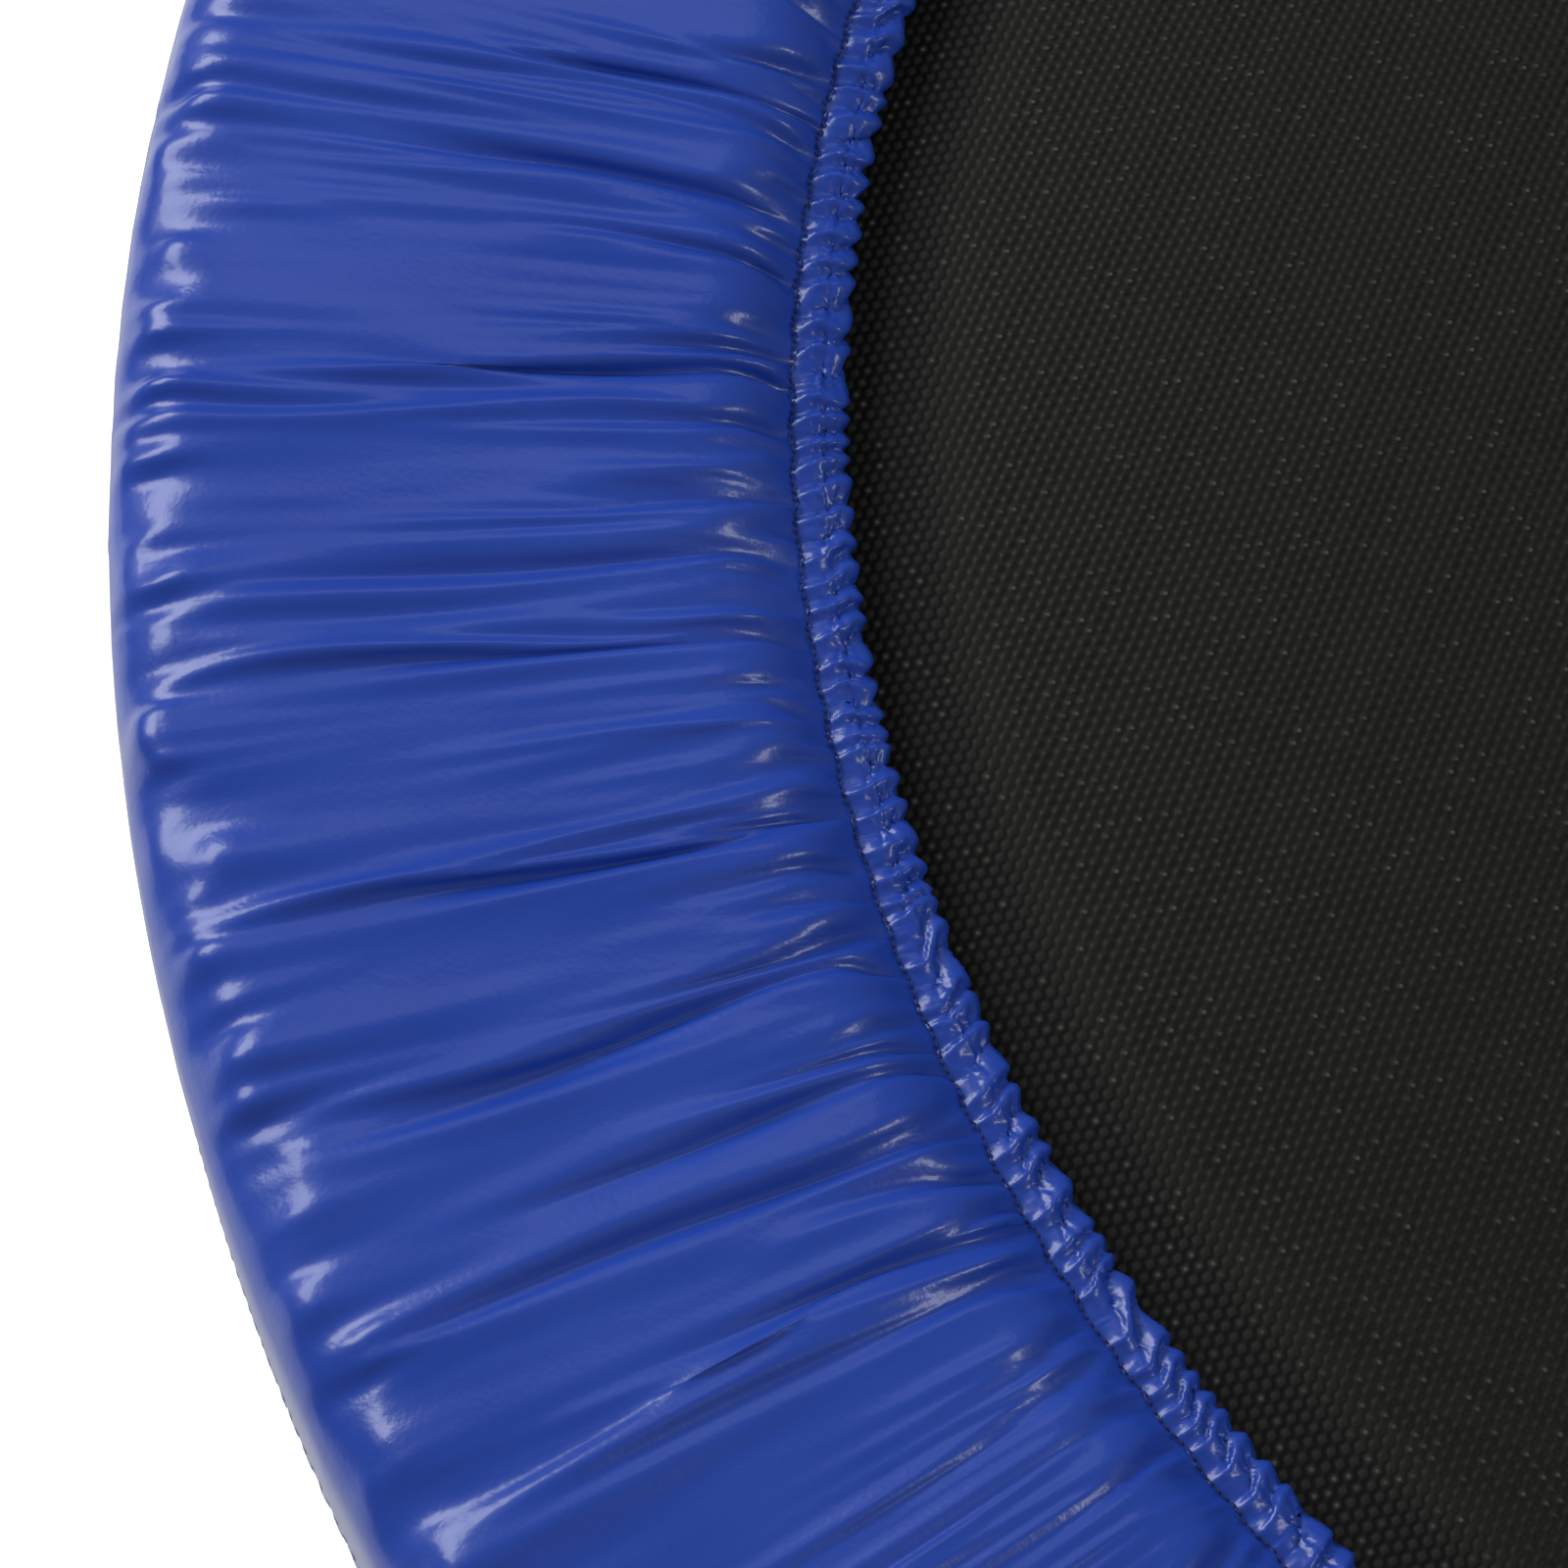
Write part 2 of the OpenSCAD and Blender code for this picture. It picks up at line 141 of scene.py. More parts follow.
def makeWeaveGroup():
    # plain weave: two sets of threads that pass over and under each other by turns
    inputs = [("Vector", "Vector", None), ("Thread X", "Float", 0.002), ("Thread Y", "Float", 0.0014),
        ("Angle", "Float", 0.0)]
    tree, given, result = newGroup("plainWeave", inputs, ["Height", "Gaps", "Tone", "Floats"])
    along = addNode(tree, "ShaderNodeVectorRotate", {"Vector": given["Vector"], "Angle": given["Angle"]},
        rotation_type="Z_AXIS")
    parts = addNode(tree, "ShaderNodeSeparateXYZ", {0: along.outputs[0]}).outputs
    wander = noise(tree, given["Vector"], weaveShape["wander"], 1.0)
    offset = maths(tree, "MULTIPLY_ADD", wander, weaveShape["shift"], -weaveShape["shift"] / 2)
    u = maths(tree, "ADD", maths(tree, "DIVIDE", parts[0], given["Thread X"]), offset)
    v = maths(tree, "SUBTRACT", maths(tree, "DIVIDE", parts[1], given["Thread Y"]), offset)
    cellU, cellV = [maths(tree, "FLOOR", place) for place in (u, v)]
    sineU, sineV = [maths(tree, "SINE", maths(tree, "MULTIPLY", place, math.pi)) for place in (u, v)]
    both = maths(tree, "MULTIPLY", sineU, sineV)
    height = maths(tree, "MULTIPLY_ADD", both, weaveShape["crossing"], weaveShape["middle"])
    for sine, size in ((sineU, weaveShape["warp"]), (sineV, weaveShape["weft"])):
        height = maths(tree, "MULTIPLY_ADD", maths(tree, "MULTIPLY", sine, sine), size, height)

    # each thread has its own tone, and so has each place where a thread lies on top
    def randomTone(place):
        return addNode(tree, "ShaderNodeTexWhiteNoise", {"W": place}, noise_dimensions="1D").outputs["Value"]

    onTop = maths(tree, "GREATER_THAN", both, 0.0)
    warpTone, weftTone = randomTone(cellU), randomTone(maths(tree, "ADD", cellV, 0.5))
    tone = addNode(tree, "ShaderNodeMix", {0: onTop, 2: weftTone, 3: warpTone}).outputs[0]
    cell = addNode(tree, "ShaderNodeCombineXYZ", {0: cellU, 1: cellV}).outputs[0]
    floats = addNode(tree, "ShaderNodeTexWhiteNoise", {"Vector": cell}, noise_dimensions="2D").outputs[0]
    gaps = spread(tree, height, *weaveShape["gap"])
    for title, value in (("Height", height), ("Gaps", gaps), ("Tone", tone), ("Floats", floats)):
        tree.links.new(value, result[title])
    return tree


surfaceGrain = makeGrainGroup()
plainWeave = makeWeaveGroup()


def grainOver(tree, place, scale, detail, patchScale):
    inputs = {"Vector": place, "Scale": scale, "Detail": detail, "Patch Scale": patchScale}
    return useGroup(tree, surfaceGrain, inputs)


def weaveOver(tree, place, threadX, threadY, angle):
    inputs = {"Vector": place, "Thread X": threadX, "Thread Y": threadY, "Angle": angle}
    return useGroup(tree, plainWeave, inputs)


def newMaterial(name, sockets):
    material = bpy.data.materials.new(name)
    material.use_nodes = True
    tree = material.node_tree
    shader = tree.nodes["Principled BSDF"]
    for key, value in sockets.items():
        shader.inputs[key].default_value = value
    return material, tree, shader


def addBump(tree, shader, height, distance):
    # adds to the bumps that the shader already has
    inputs = {"Height": height, "Distance": distance}
    if shader.inputs["Normal"].is_linked:
        inputs["Normal"] = shader.inputs["Normal"].links[0].from_socket
    tree.links.new(addNode(tree, "ShaderNodeBump", inputs).outputs[0], shader.inputs["Normal"])


def objectPlace(tree):
    return addNode(tree, "ShaderNodeTexCoord").outputs["Object"]


vinylLook = {
    "colour": linear(29, 67, 168), "deep": linear(26, 62, 160), "inside": linear(52, 58, 76),
    "roughness": (0.33, 0.42), "insideDull": 0.4, "patchScale": 18.0,
    "coat": {"Coat Weight": 0.5, "Coat Roughness": 0.18, "Coat IOR": 1.45},
    "peelScale": 800.0, "peelHeight": 0.00006, "dentScale": 60.0, "dentHeight": 0.00025,
}


def makeVinyl():
    look = vinylLook
    material, tree, shader = newMaterial("gloss_vinyl", {"Roughness": 0.35, "IOR": 1.42, **look["coat"]})
    place = objectPlace(tree)
    patches = grainOver(tree, place, look["peelScale"], 2.0, look["patchScale"])["Patches"]
    colour = mixColours(tree, patches, look["deep"], look["colour"])
    back = addNode(tree, "ShaderNodeNewGeometry").outputs["Backfacing"]
    tree.links.new(mixColours(tree, back, colour, look["inside"]), shader.inputs["Base Color"])
    gloss = spread(tree, patches, 0.0, 1.0, *look["roughness"])
    dull = maths(tree, "MULTIPLY_ADD", back, look["insideDull"], gloss)
    tree.links.new(dull, shader.inputs["Roughness"])
    addBump(tree, shader, noise(tree, place, look["dentScale"], 1.0), look["dentHeight"])
    addBump(tree, shader, noise(tree, place, look["peelScale"], 2.0), look["peelHeight"])
    tree.links.new(shader.inputs["Normal"].links[0].from_socket, shader.inputs["Coat Normal"])
    return material


# painted shade band: from where to where the mat beside the casing is painted darker, with wider near-black
# gaps, as painted shade from the pad and casing
weaveLook = {
    "colour": linear(21, 21, 16), "light": linear(28, 28, 22), "toneShare": 0.5, "specular": 0.28,
    "threadX": 0.00197, "threadY": 0.00137, "angle": -13.4, "height": 0.00024,
    "glint": linear(70, 70, 62), "glintFrom": 0.8, "glintTop": (0.8, 1.0), "roughness": (0.42, 0.5),
    "paintedShadeBand": (0.300, 0.3125), "shadeBandThread": linear(30, 30, 27), "gapAndShadeColour": linear(2, 2, 2),
    "shadeBandGapGrowth": (0.42, 0.34), "shadeBandDull": 0.3,
}


def makeMatWeave():
    look = weaveLook
    sockets = {"Roughness": 0.45, "Specular IOR Level": look["specular"]}
    material, tree, shader = newMaterial("woven_mat", sockets)
    place = objectPlace(tree)
    weave = weaveOver(tree, place, look["threadX"], look["threadY"], math.radians(look["angle"]))
    tone = maths(tree, "MULTIPLY", weave["Tone"], look["toneShare"])
    colour = mixColours(tree, tone, look["colour"], look["light"])

    # painted shade beside the rim: the gaps are widened and painted near-black there, and the threads get
    # their own colour, for the shade that the pad and casing cast
    fromMiddle = addNode(tree, "ShaderNodeVectorMath", {0: place}, operation="LENGTH").outputs["Value"]
    paintedShadeBand = spread(tree, fromMiddle, *[math.hypot(radius, ring["height"]) for radius in look["paintedShadeBand"]])
    limits = [maths(tree, "MULTIPLY_ADD", paintedShadeBand, more, level)
        for more, level in zip(look["shadeBandGapGrowth"], weaveShape["gap"])]
    gapsAndShade = spread(tree, weave["Height"], *limits)
    colour = mixColours(tree, paintedShadeBand, colour, look["shadeBandThread"])
    colour = mixColours(tree, gapsAndShade, colour, look["gapAndShadeColour"])

    # painted glints: a few threads are painted lighter where they stand highest, as highlights
    bright = spread(tree, weave["Floats"], look["glintFrom"], 1.0)
    glint = maths(tree, "MULTIPLY", bright, spread(tree, weave["Height"], *look["glintTop"]))
    tree.links.new(mixColours(tree, glint, colour, look["glint"]), shader.inputs["Base Color"])
    dull = spread(tree, weave["Tone"], 0.0, 1.0, *look["roughness"])
    tree.links.new(maths(tree, "MULTIPLY_ADD", paintedShadeBand, look["shadeBandDull"], dull), shader.inputs["Roughness"])
    addBump(tree, shader, weave["Height"], look["height"])
    return material


clothLook = {
    "weft": 0.8, "angle": 0.4, "fuzzScale": 1500.0, "fuzzHeight": 0.3, "patchScale": 12.0,
    "gap": (0.004, 0.004, 0.004, 1), "gapShade": 0.7,
}


def makeClothWeave(name, colour, light, thread, height, roughness=0.8):
    look = clothLook
    material, tree, shader = newMaterial(name, {"Roughness": roughness})
    place = objectPlace(tree)
    weave = weaveOver(tree, place, thread, thread * look["weft"], look["angle"])
    grain = grainOver(tree, place, look["fuzzScale"], 3.0, look["patchScale"])
    tone = maths(tree, "MULTIPLY", maths(tree, "ADD", weave["Tone"], grain["Patches"]), 0.5)
    woven = mixColours(tree, tone, colour, light)
    gaps = maths(tree, "MULTIPLY", weave["Gaps"], look["gapShade"])
    tree.links.new(mixColours(tree, gaps, woven, look["gap"]), shader.inputs["Base Color"])
    addBump(tree, shader, weave["Height"], height)
    addBump(tree, shader, grain["Height"], height * look["fuzzHeight"])
    return material


coatLook = {"speckShare": 0.35, "smoother": 0.07, "rougher": 0.09}


def makeCoated(name, colour, worn, roughness, grainScale, grainHeight, metallic=0.0, patchScale=25.0):
    look = coatLook
    material, tree, shader = newMaterial(name, {"Roughness": roughness, "Metallic": metallic})
    grain = grainOver(tree, objectPlace(tree), grainScale, 4.0, patchScale)
    base = mixColours(tree, grain["Patches"], colour, worn)
    specks = maths(tree, "MULTIPLY", grain["Specks"], look["speckShare"])
    tree.links.new(mixColours(tree, specks, base, worn), shader.inputs["Base Color"])
    limits = (roughness - look["smoother"], roughness + look["rougher"])
    tree.links.new(spread(tree, grain["Patches"], 0.0, 1.0, *limits), shader.inputs["Roughness"])
    addBump(tree, shader, grain["Height"], grainHeight)
    return material


gloss = makeVinyl()
matWeave = makeMatWeave()
backingCloth = makeClothWeave("backing_cloth", linear(60, 62, 66), linear(78, 80, 84), 0.0009, 0.00012)
webbingCloth = makeClothWeave("webbing", linear(24, 24, 25), linear(40, 40, 42), 0.0016, 0.0003, 0.7)
elasticCloth = makeClothWeave("elastic_band", linear(200, 200, 196), linear(225, 225, 220), 0.0012, 0.0002)
blueThread = makeClothWeave("blue_thread", linear(18, 28, 78), linear(30, 44, 104), 0.0003, 0.00006, 0.55)
blackThread = makeClothWeave("black_thread", linear(30, 30, 31), linear(52, 52, 54), 0.0003, 0.00006, 0.6)
powderCoat = makeCoated("powder_coat", linear(26, 26, 28), linear(36, 36, 38), 0.36, 900.0, 0.00006)
zincPlate = makeCoated("zinc_plate", linear(176, 178, 184), linear(150, 150, 148), 0.32, 1400.0, 0.00002,
    metallic=1.0, patchScale=60.0)
weldSteel = makeCoated("coated_weld", linear(24, 24, 26), linear(34, 34, 35), 0.42, 1100.0, 0.0001)
footRubber = makeCoated("foot_rubber", linear(22, 22, 22), linear(40, 39, 38), 0.7, 1300.0, 0.00008)
print("materials ready")


def buildMesh(name, points, faces, material, cloth=None):
    # points and faces are arrays, all faces with the same number of corners; cloth is each point's flat place
    mesh = bpy.data.meshes.new(name)
    mesh.vertices.add(len(points))
    mesh.vertices.foreach_set("co", np.ascontiguousarray(points, np.float32).ravel())
    mesh.loops.add(faces.size)
    mesh.loops.foreach_set("vertex_index", np.ascontiguousarray(faces, np.int32).ravel())
    mesh.polygons.add(len(faces))
    mesh.polygons.foreach_set("loop_start", np.arange(0, faces.size, faces.shape[1], dtype=np.int32))
    mesh.polygons.foreach_set("use_smooth", np.ones(len(faces), bool))
    if cloth is not None:
        layer = mesh.uv_layers.new(name="cloth")
        layer.data.foreach_set("uv", np.ascontiguousarray(cloth[faces.ravel()], np.float32).ravel())
    mesh.update(calc_edges=True)
    mesh.validate()
    mesh.materials.append(material)
    piece = bpy.data.objects.new(name, mesh)
    bpy.context.scene.collection.objects.link(piece)
    return piece


def gridFaces(around, across, closedAround=True, closedAcross=False):
    index = np.arange(around * across).reshape(around, across)
    i = np.arange(around if closedAround else around - 1)
    j = np.arange(across if closedAcross else across - 1)
    a, b = np.meshgrid(i, j, indexing="ij")
    nextA, nextB = (a + 1) % around, (b + 1) % across
    return np.stack([index[a, b], index[nextA, b], index[nextA, nextB], index[a, nextB]], -1).reshape(-1, 4)


def anglesRound(count):
    return np.arange(count) * tau / count


def onRing(radius, angle, height):
    return np.stack([radius * np.cos(angle), radius * np.sin(angle), height + 0 * radius * angle], -1)


def turned(points, angle):
    c, s = math.cos(angle), math.sin(angle)
    x, y, z = points.T
    return np.stack([x * c - y * s, x * s + y * c, z], -1)


def wayAlong(x, y):
    return np.concatenate([[0], np.cumsum(np.hypot(np.diff(x), np.diff(y)))])


def sweepTube(path, radius, sides, closed=False):
    # a tube along a path of points, its section carried along without twist
    path = np.asarray(path, float)
    count = len(path)
    step = (np.roll(path, -1, 0) - np.roll(path, 1, 0)) if closed else np.gradient(path, axis=0)
    step /= np.linalg.norm(step, axis=1)[:, None]
    side = np.zeros_like(path)
    first = np.cross(step[0], [0.0, 0.0, 1.0])
    side[0] = first / np.linalg.norm(first)
    for k in range(1, count):
        across = side[k - 1] - step[k] * side[k - 1].dot(step[k])
        side[k] = across / np.linalg.norm(across)
    up = np.cross(step, side)
    turn = anglesRound(sides)
    radius = np.broadcast_to(radius, (count,))
    offset = side[:, None] * np.cos(turn)[None, :, None] + up[:, None] * np.sin(turn)[None, :, None]
    points = path[:, None] + offset * radius[:, None, None]
    return points.reshape(-1, 3), gridFaces(count, sides, closed, True)


def lathe(outline, sides):
    outline = np.asarray(outline, float)
    points = onRing(outline[None, :, 0], anglesRound(sides)[:, None], outline[None, :, 1])
    return points.reshape(-1, 3), gridFaces(sides, len(outline))


def joined(parts):
    points, faces, start = [], [], 0
    for p, f in parts:
        points.append(p)
        faces.append(f + start)
        start += len(p)
    return np.concatenate(points), np.concatenate(faces)


def copies(points, faces, angles):
    # the same small part repeated round the ring's axis
    return joined([(turned(points, angle), faces) for angle in angles])


def bandNoise(count, knots, size):
    # smooth random values round the ring
    values = rng.normal(0, size, knots)
    place = np.arange(count) * knots / count
    low = place.astype(int)
    mix = place - low
    mix = mix * mix * (3 - 2 * mix)
    return values[low % knots] * (1 - mix) + values[(low + 1) % knots] * mix


def refineRing(points, oldAcross, newAcross, around):
    # smooth curves through the old points, first across the ring and then round it
    last = points.shape[1] - 1
    place = np.interp(newAcross, oldAcross, np.arange(last + 1))
    low = np.minimum(place.astype(int), last - 1)
    mix = (place - low).astype(np.float32)[None, :, None]
    before, here = points[:, np.maximum(low - 1, 0)], points[:, low]
    after, beyond = points[:, low + 1], points[:, np.minimum(low + 2, last)]
    square = 2 * before - 5 * here + 4 * after - beyond
    cube = 3 * here - before - 3 * after + beyond
    points = 0.5 * (2 * here + (after - before) * mix + square * mix ** 2 + cube * mix ** 3)
    while points.shape[0] < around:
        middle = (9 * (points + np.roll(points, -1, 0)) - np.roll(points, 1, 0) - np.roll(points, -2, 0)) / 16
        finer = np.empty((points.shape[0] * 2,) + points.shape[1:], np.float32)
        finer[0::2], finer[1::2] = points, middle
        points = finer
    return points


# for all three gathered cloths: how far a thread is set right at a time, what speed is left, rounds in a step
relaxing = {"stretch": 0.9, "drag": 0.85, "passes": 3}


def relaxRing(points, roundLength, acrossLength, fit, hold):
    # moves a ring of cloth until its lengths round the ring and across it are nearly right
    points = points.astype(np.float32)
    roundLength, acrossLength = roundLength.astype(np.float32), acrossLength.astype(np.float32)
    rows = points.shape[1]
    before = points.copy()
    pull = np.float32(0.5 * relaxing["stretch"])
    bend, bendAcross = np.float32(fit["bend"] / 16), np.float32(fit["bendAcross"] / 16)

    def keepLength(a, b, length):
        gap = b - a
        size = np.sqrt((gap * gap).sum(-1))
        gap *= ((1 - length / np.maximum(size, 1e-9)) * pull)[..., None]
        a += gap
        b -= gap

    def outward():
        along = np.roll(points, -1, 0) - np.roll(points, 1, 0)
        across = np.empty_like(points)
        across[:, 1:-1] = points[:, 2:] - points[:, :-2]
        across[:, 0], across[:, -1] = points[:, 1] - points[:, 0], points[:, -1] - points[:, -2]
        normal = np.cross(across, along)
        return normal / np.maximum(np.sqrt((normal * normal).sum(-1)), 1e-12)[..., None]

    for _ in range(fit["steps"]):
        speed = (points - before) * np.float32(relaxing["drag"])
        before = points.copy()
        points = points + speed + outward() * np.float32(fit["push"])
        for _ in range(relaxing["passes"]):
            for shift in (-1, 1):
                keepLength(points[0::2], points[1::2], roundLength)
                points = np.roll(points, shift, 0)
            for first in (0, 1):
                pairs = (rows - first) // 2
                a, b = points[:, first:first + 2 * pairs:2], points[:, first + 1:first + 2 * pairs:2]
                keepLength(a, b, acrossLength[first::2][:pairs])
            curve = np.roll(points, 1, 0) + np.roll(points, -1, 0) - 2 * points
            points -= bend * (np.roll(curve, 1, 0) + np.roll(curve, -1, 0) - 2 * curve)
            curve = points[:, 2:] + points[:, :-2] - 2 * points[:, 1:-1]
            points[:, 2:-2] -= bendAcross * (curve[:, 2:] + curve[:, :-2] - 2 * curve[:, 1:-1])
            hold(points)
    return points


def fromAxis(points):
    return np.sqrt(points[..., 0] ** 2 + points[..., 1] ** 2)


def towards(points, radius, radial, upward):
    # moves points in their own radial plane
    points[..., 0] += radial * points[..., 0] / radius
    points[..., 1] += radial * points[..., 1] / radius
    points[..., 2] += upward


# stitched seam between the cover and its inner casing: small waves that both follow
seam = {
    "radius": 0.3346, "height": 0.2133, "under": 0.2074, "around": 3840, "groove": 0.0007,
    "pucker": (0.0034, 0.0068), "sway": 0.0003, "rise": 0.00035, "riseShare": 0.7, "uneven": (300, 0.25),
}


def puckerPhase():
    # running phase round the ring for puckers of uneven width
    widths = []
    while sum(widths) < tau * seam["radius"]:
        widths.append(rng.uniform(*seam["pucker"]))
    edges = np.concatenate([[0], np.cumsum(widths)])
    edges *= 1 / edges[-1]
    return np.interp(np.arange(seam["around"]) / seam["around"], edges, np.arange(len(edges))) * tau


seamPhase = puckerPhase()
seamRise = seam["rise"] * np.sin(seamPhase) * (seam["riseShare"] + bandNoise(seam["around"], *seam["uneven"]))
seamLine = onRing(seam["radius"] + seam["sway"] * np.sin(seamPhase * 0.5 + 1), anglesRound(seam["around"]),
    seam["height"] + seamRise)

# spring cover: a straight strip of vinyl over foam, gathered to the seam. Places across it are measured
# from the seam; depths and widths of the folds are shares of foldDepth and foldWidth
cover = {
    "outer": 0.457, "shoulder": 0.015, "top": 0.229, "slope": math.tan(math.radians(3.72)), "skirt": 0.189,
    "edgeWidth": 0.014, "edgeHeight": 0.0094, "edgeCurve": 1.8, "toShoulder": 0.122,
    "gather": 0.85, "tension": 0.99, "foldDepth": 0.0070, "foldWidth": 0.0020, "rim": 0.2,
    "lean": 0.03, "sway": 0.02, "swayShare": (0.3, 1), "bends": (2.5, 6.5), "lopsided": 0.5,
    "foldShape": {"startOver": 0.006, "startShare": 0.3, "endOver": 0.014, "endCurve": 0.6, "closing": 1.4,
        "narrowest": 0.65, "wider": 0.55, "widestAt": 0.8, "widthCurve": 0.7},
    "folds": {
        "main": {"count": 72, "uneven": 0.33, "lean": 0.016, "first": (0, 0.006), "last": (0.12, 0.129),
            "depth": (0.55, 1.2), "width": (0.7, 1.35)},
        "beside": {"share": 0.75, "offset": (0.018, 0.04), "last": (0.03, 0.08), "depth": (0.35, 0.9),
            "width": (0.6, 1)},
        "between": {"share": 0.45, "place": (0.35, 0.65), "lean": 0.02, "first": (0, 0.04),
            "length": (0.03, 0.06), "depth": (0.25, 0.7), "width": (0.6, 1.2)},
        "short": {"count": 290, "uneven": 0.3, "lean": 0.05, "last": (0.01, 0.04), "depth": (0.25, 0.6),
            "width": (0.45, 0.75)},
    },
    "ripples": {"depth": 0.0013, "end": 0.128, "fade": 0.006,
        "rows": ((0.1125, 0.006, 300), (0.1175, 0.004, 380), (0.1225, 0.003, 260))},
    "gathers": {"count": 760, "height": 0.00042, "middle": 0.1165, "inward": (0.005, 0.014),
        "outward": 0.006},
    "puckers": {"depth": 0.0007, "length": 0.006, "shortest": 0.003, "uneven": (420, 0.003),
        "lean": (160, 1.5), "leanOver": 0.02, "pitch": 0.75, "curve": 1.5, "startOver": 0.001},
    "foam": {"give": (0.05, 0.13), "firmFrom": 0.43, "firmOver": 0.012, "giveAtSeam": (0.08, 0.006),
        "inner": 0.31, "slopes": (-0.1, 1.6), "sink": 0.005},
    "lift": 0.006, "liftOver": 0.03, "liftAtSeam": 0.15, "pullDown": 0.5,
    "rowsAtSeam": (1.3, 0.014), "rowsAtShoulder": (1.2, 0.044, 0.012),
    "fit": {"bend": 0.01, "bendAcross": 0.02},
    "levels": [{"around": 1440, "rows": 28, "steps": 30, "push": 1e-6},
        {"around": 2880, "rows": 34, "steps": 20, "push": 5e-7}],
}
shoulderRadius = cover["outer"] - cover["shoulder"]
shoulderHeight = cover["top"] - cover["shoulder"]


def coverOutline():
    # from the seam over the foam's top and its shoulder down to the skirt's edge
    radius = np.linspace(seam["radius"], shoulderRadius, 400)
    height = cover["top"] - (shoulderRadius - radius) * cover["slope"]
    edge = np.clip((radius - seam["radius"]) / cover["edgeWidth"], 0, 1)
    height -= cover["edgeHeight"] * (1 - edge) ** cover["edgeCurve"]
    turn = np.linspace(math.pi / 2, 0, 60)[1:]
    skirt = np.linspace(shoulderHeight, cover["skirt"], 31)[1:]
    radius = np.concatenate([radius, shoulderRadius + cover["shoulder"] * np.cos(turn),
        np.full(len(skirt), cover["outer"])])
    height = np.concatenate([height, shoulderHeight + cover["shoulder"] * np.sin(turn), skirt])
    return radius, height, wayAlong(radius, height)


def coverRows(distance, rows):
    # closer together at the seam and at the shoulder
    place = np.linspace(0, distance[-1], 400)
    share, reach = cover["rowsAtSeam"]
    dense = 1 + share * np.exp(-(place / reach) ** 2)
    share, fromEnd, reach = cover["rowsAtShoulder"]
    dense += share * np.exp(-((place - distance[-1] + fromEnd) / reach) ** 2)
    total = np.concatenate([[0], np.cumsum((dense[1:] + dense[:-1]) / 2)])
    return np.interp(np.linspace(0, total[-1], rows), total, place)


def foldLines():
    # angle at the seam, lean, bends, offset that closes outwards, start and end across, depth, width, side
    kinds, lines = cover["folds"], []

    def draw(kind, key):
        return rng.uniform(*kinds[kind][key])

    def newPath(kind):
        lean = cover["lean"] + rng.normal(0, kinds[kind]["lean"])
        sway = rng.uniform(*cover["swayShare"]) * cover["sway"]
        return lean, (sway, rng.uniform(*cover["bends"]), rng.uniform(0, tau))

    def placesOf(kind):
        count, uneven = kinds[kind]["count"], kinds[kind]["uneven"]
        return (np.arange(count) + rng.uniform(-uneven, uneven, count)) * tau / count

    def add(kind, angle, path, offset, first, last):
        depth, width = cover["foldDepth"] * draw(kind, "depth"), cover["foldWidth"] * draw(kind, "width")
        side = rng.uniform(-cover["lopsided"], cover["lopsided"])
        lines.append((angle, *path, offset, first, last, depth, width, side))

    at = placesOf("main")
    for here, following in zip(at, np.roll(at, -1)):
        path = newPath("main")
        add("main", here, path, 0, draw("main", "first"), draw("main", "last"))
        for side in (-1, 1):
            if rng.random() < kinds["beside"]["share"]:
                add("beside", here, path, side * draw("beside", "offset"), 0, draw("beside", "last"))
        if rng.random() < kinds["between"]["share"]:
            first = draw("between", "first")
            place = here + (following - here) % tau * draw("between", "place")
            add("between", place, newPath("between"), 0, first, first + draw("between", "length"))
    for here in placesOf("short"):
        add("short", here, newPath("short"), 0, 0, draw("short", "last"))
    return lines


def firstFolds(around, across):
    # how deep each point lies before the cloth is relaxed
    shape, angle = cover["foldShape"], anglesRound(around)
    along = np.clip(across / cover["toShoulder"], 0, 1.2)
    radius = seam["radius"] + np.minimum(across, cover["toShoulder"])
    depthHere = np.zeros((around, len(across)))
    for start, lean, bends, offset, first, last, depth, width, side in foldLines():
        share = np.clip(across / last, 0, 1)
        line = start + lean * along + bends[0] * (np.sin(along * bends[1] + bends[2]) - math.sin(bends[2]))
        line += offset * np.clip(1 - across / last, 0, 1) ** shape["closing"]
        fade = np.clip((across - first) / shape["startOver"] + shape["startShare"], 0, 1)
        fade = fade * np.clip((last - across) / shape["endOver"], 0, 1) ** shape["endCurve"]
        bulge = np.sin(share ** shape["widestAt"] * math.pi) ** shape["widthCurve"]
        wide = width * (shape["narrowest"] + shape["wider"] * bulge)
        away = ((angle[:, None] - line[None] + math.pi) % tau - math.pi) * radius[None]
        away = away / (wide[None] * np.where(away > 0, 1 + side, 1 - side))
        fold = depth * fade[None] * (np.exp(-away ** 2) - cover["rim"] * np.exp(-(away / 2) ** 2))
        depthHere = np.where(fold > 0, np.maximum(depthHere, fold), depthHere + fold)
    look = cover["ripples"]
    end = np.clip((look["end"] - across) / look["fade"], 0, 1)
    for place, reach, count in look["rows"]:
        ripple = bandNoise(around, count, look["depth"])
        depthHere += ripple[:, None] * np.exp(-((across - place) / reach) ** 2)[None] * end
    return depthHere.astype(np.float32)


def seamPuckers(around, across):
    # small folds that run a short way out from the stitches
    look = cover["puckers"]
    phase = np.interp(np.arange(around) / around, np.arange(seam["around"]) / seam["around"], seamPhase)
    reach = np.maximum(look["length"] + bandNoise(around, *look["uneven"]), look["shortest"])
    lean = bandNoise(around, *look["lean"])
    wave = np.sin(phase[:, None] * look["pitch"] + lean[:, None] * across[None] / look["leanOver"])
    fade = np.exp(-(across[None] / reach[:, None]) ** look["curve"])
    return look["depth"] * wave * fade * np.clip(across / look["startOver"], 0, 1)


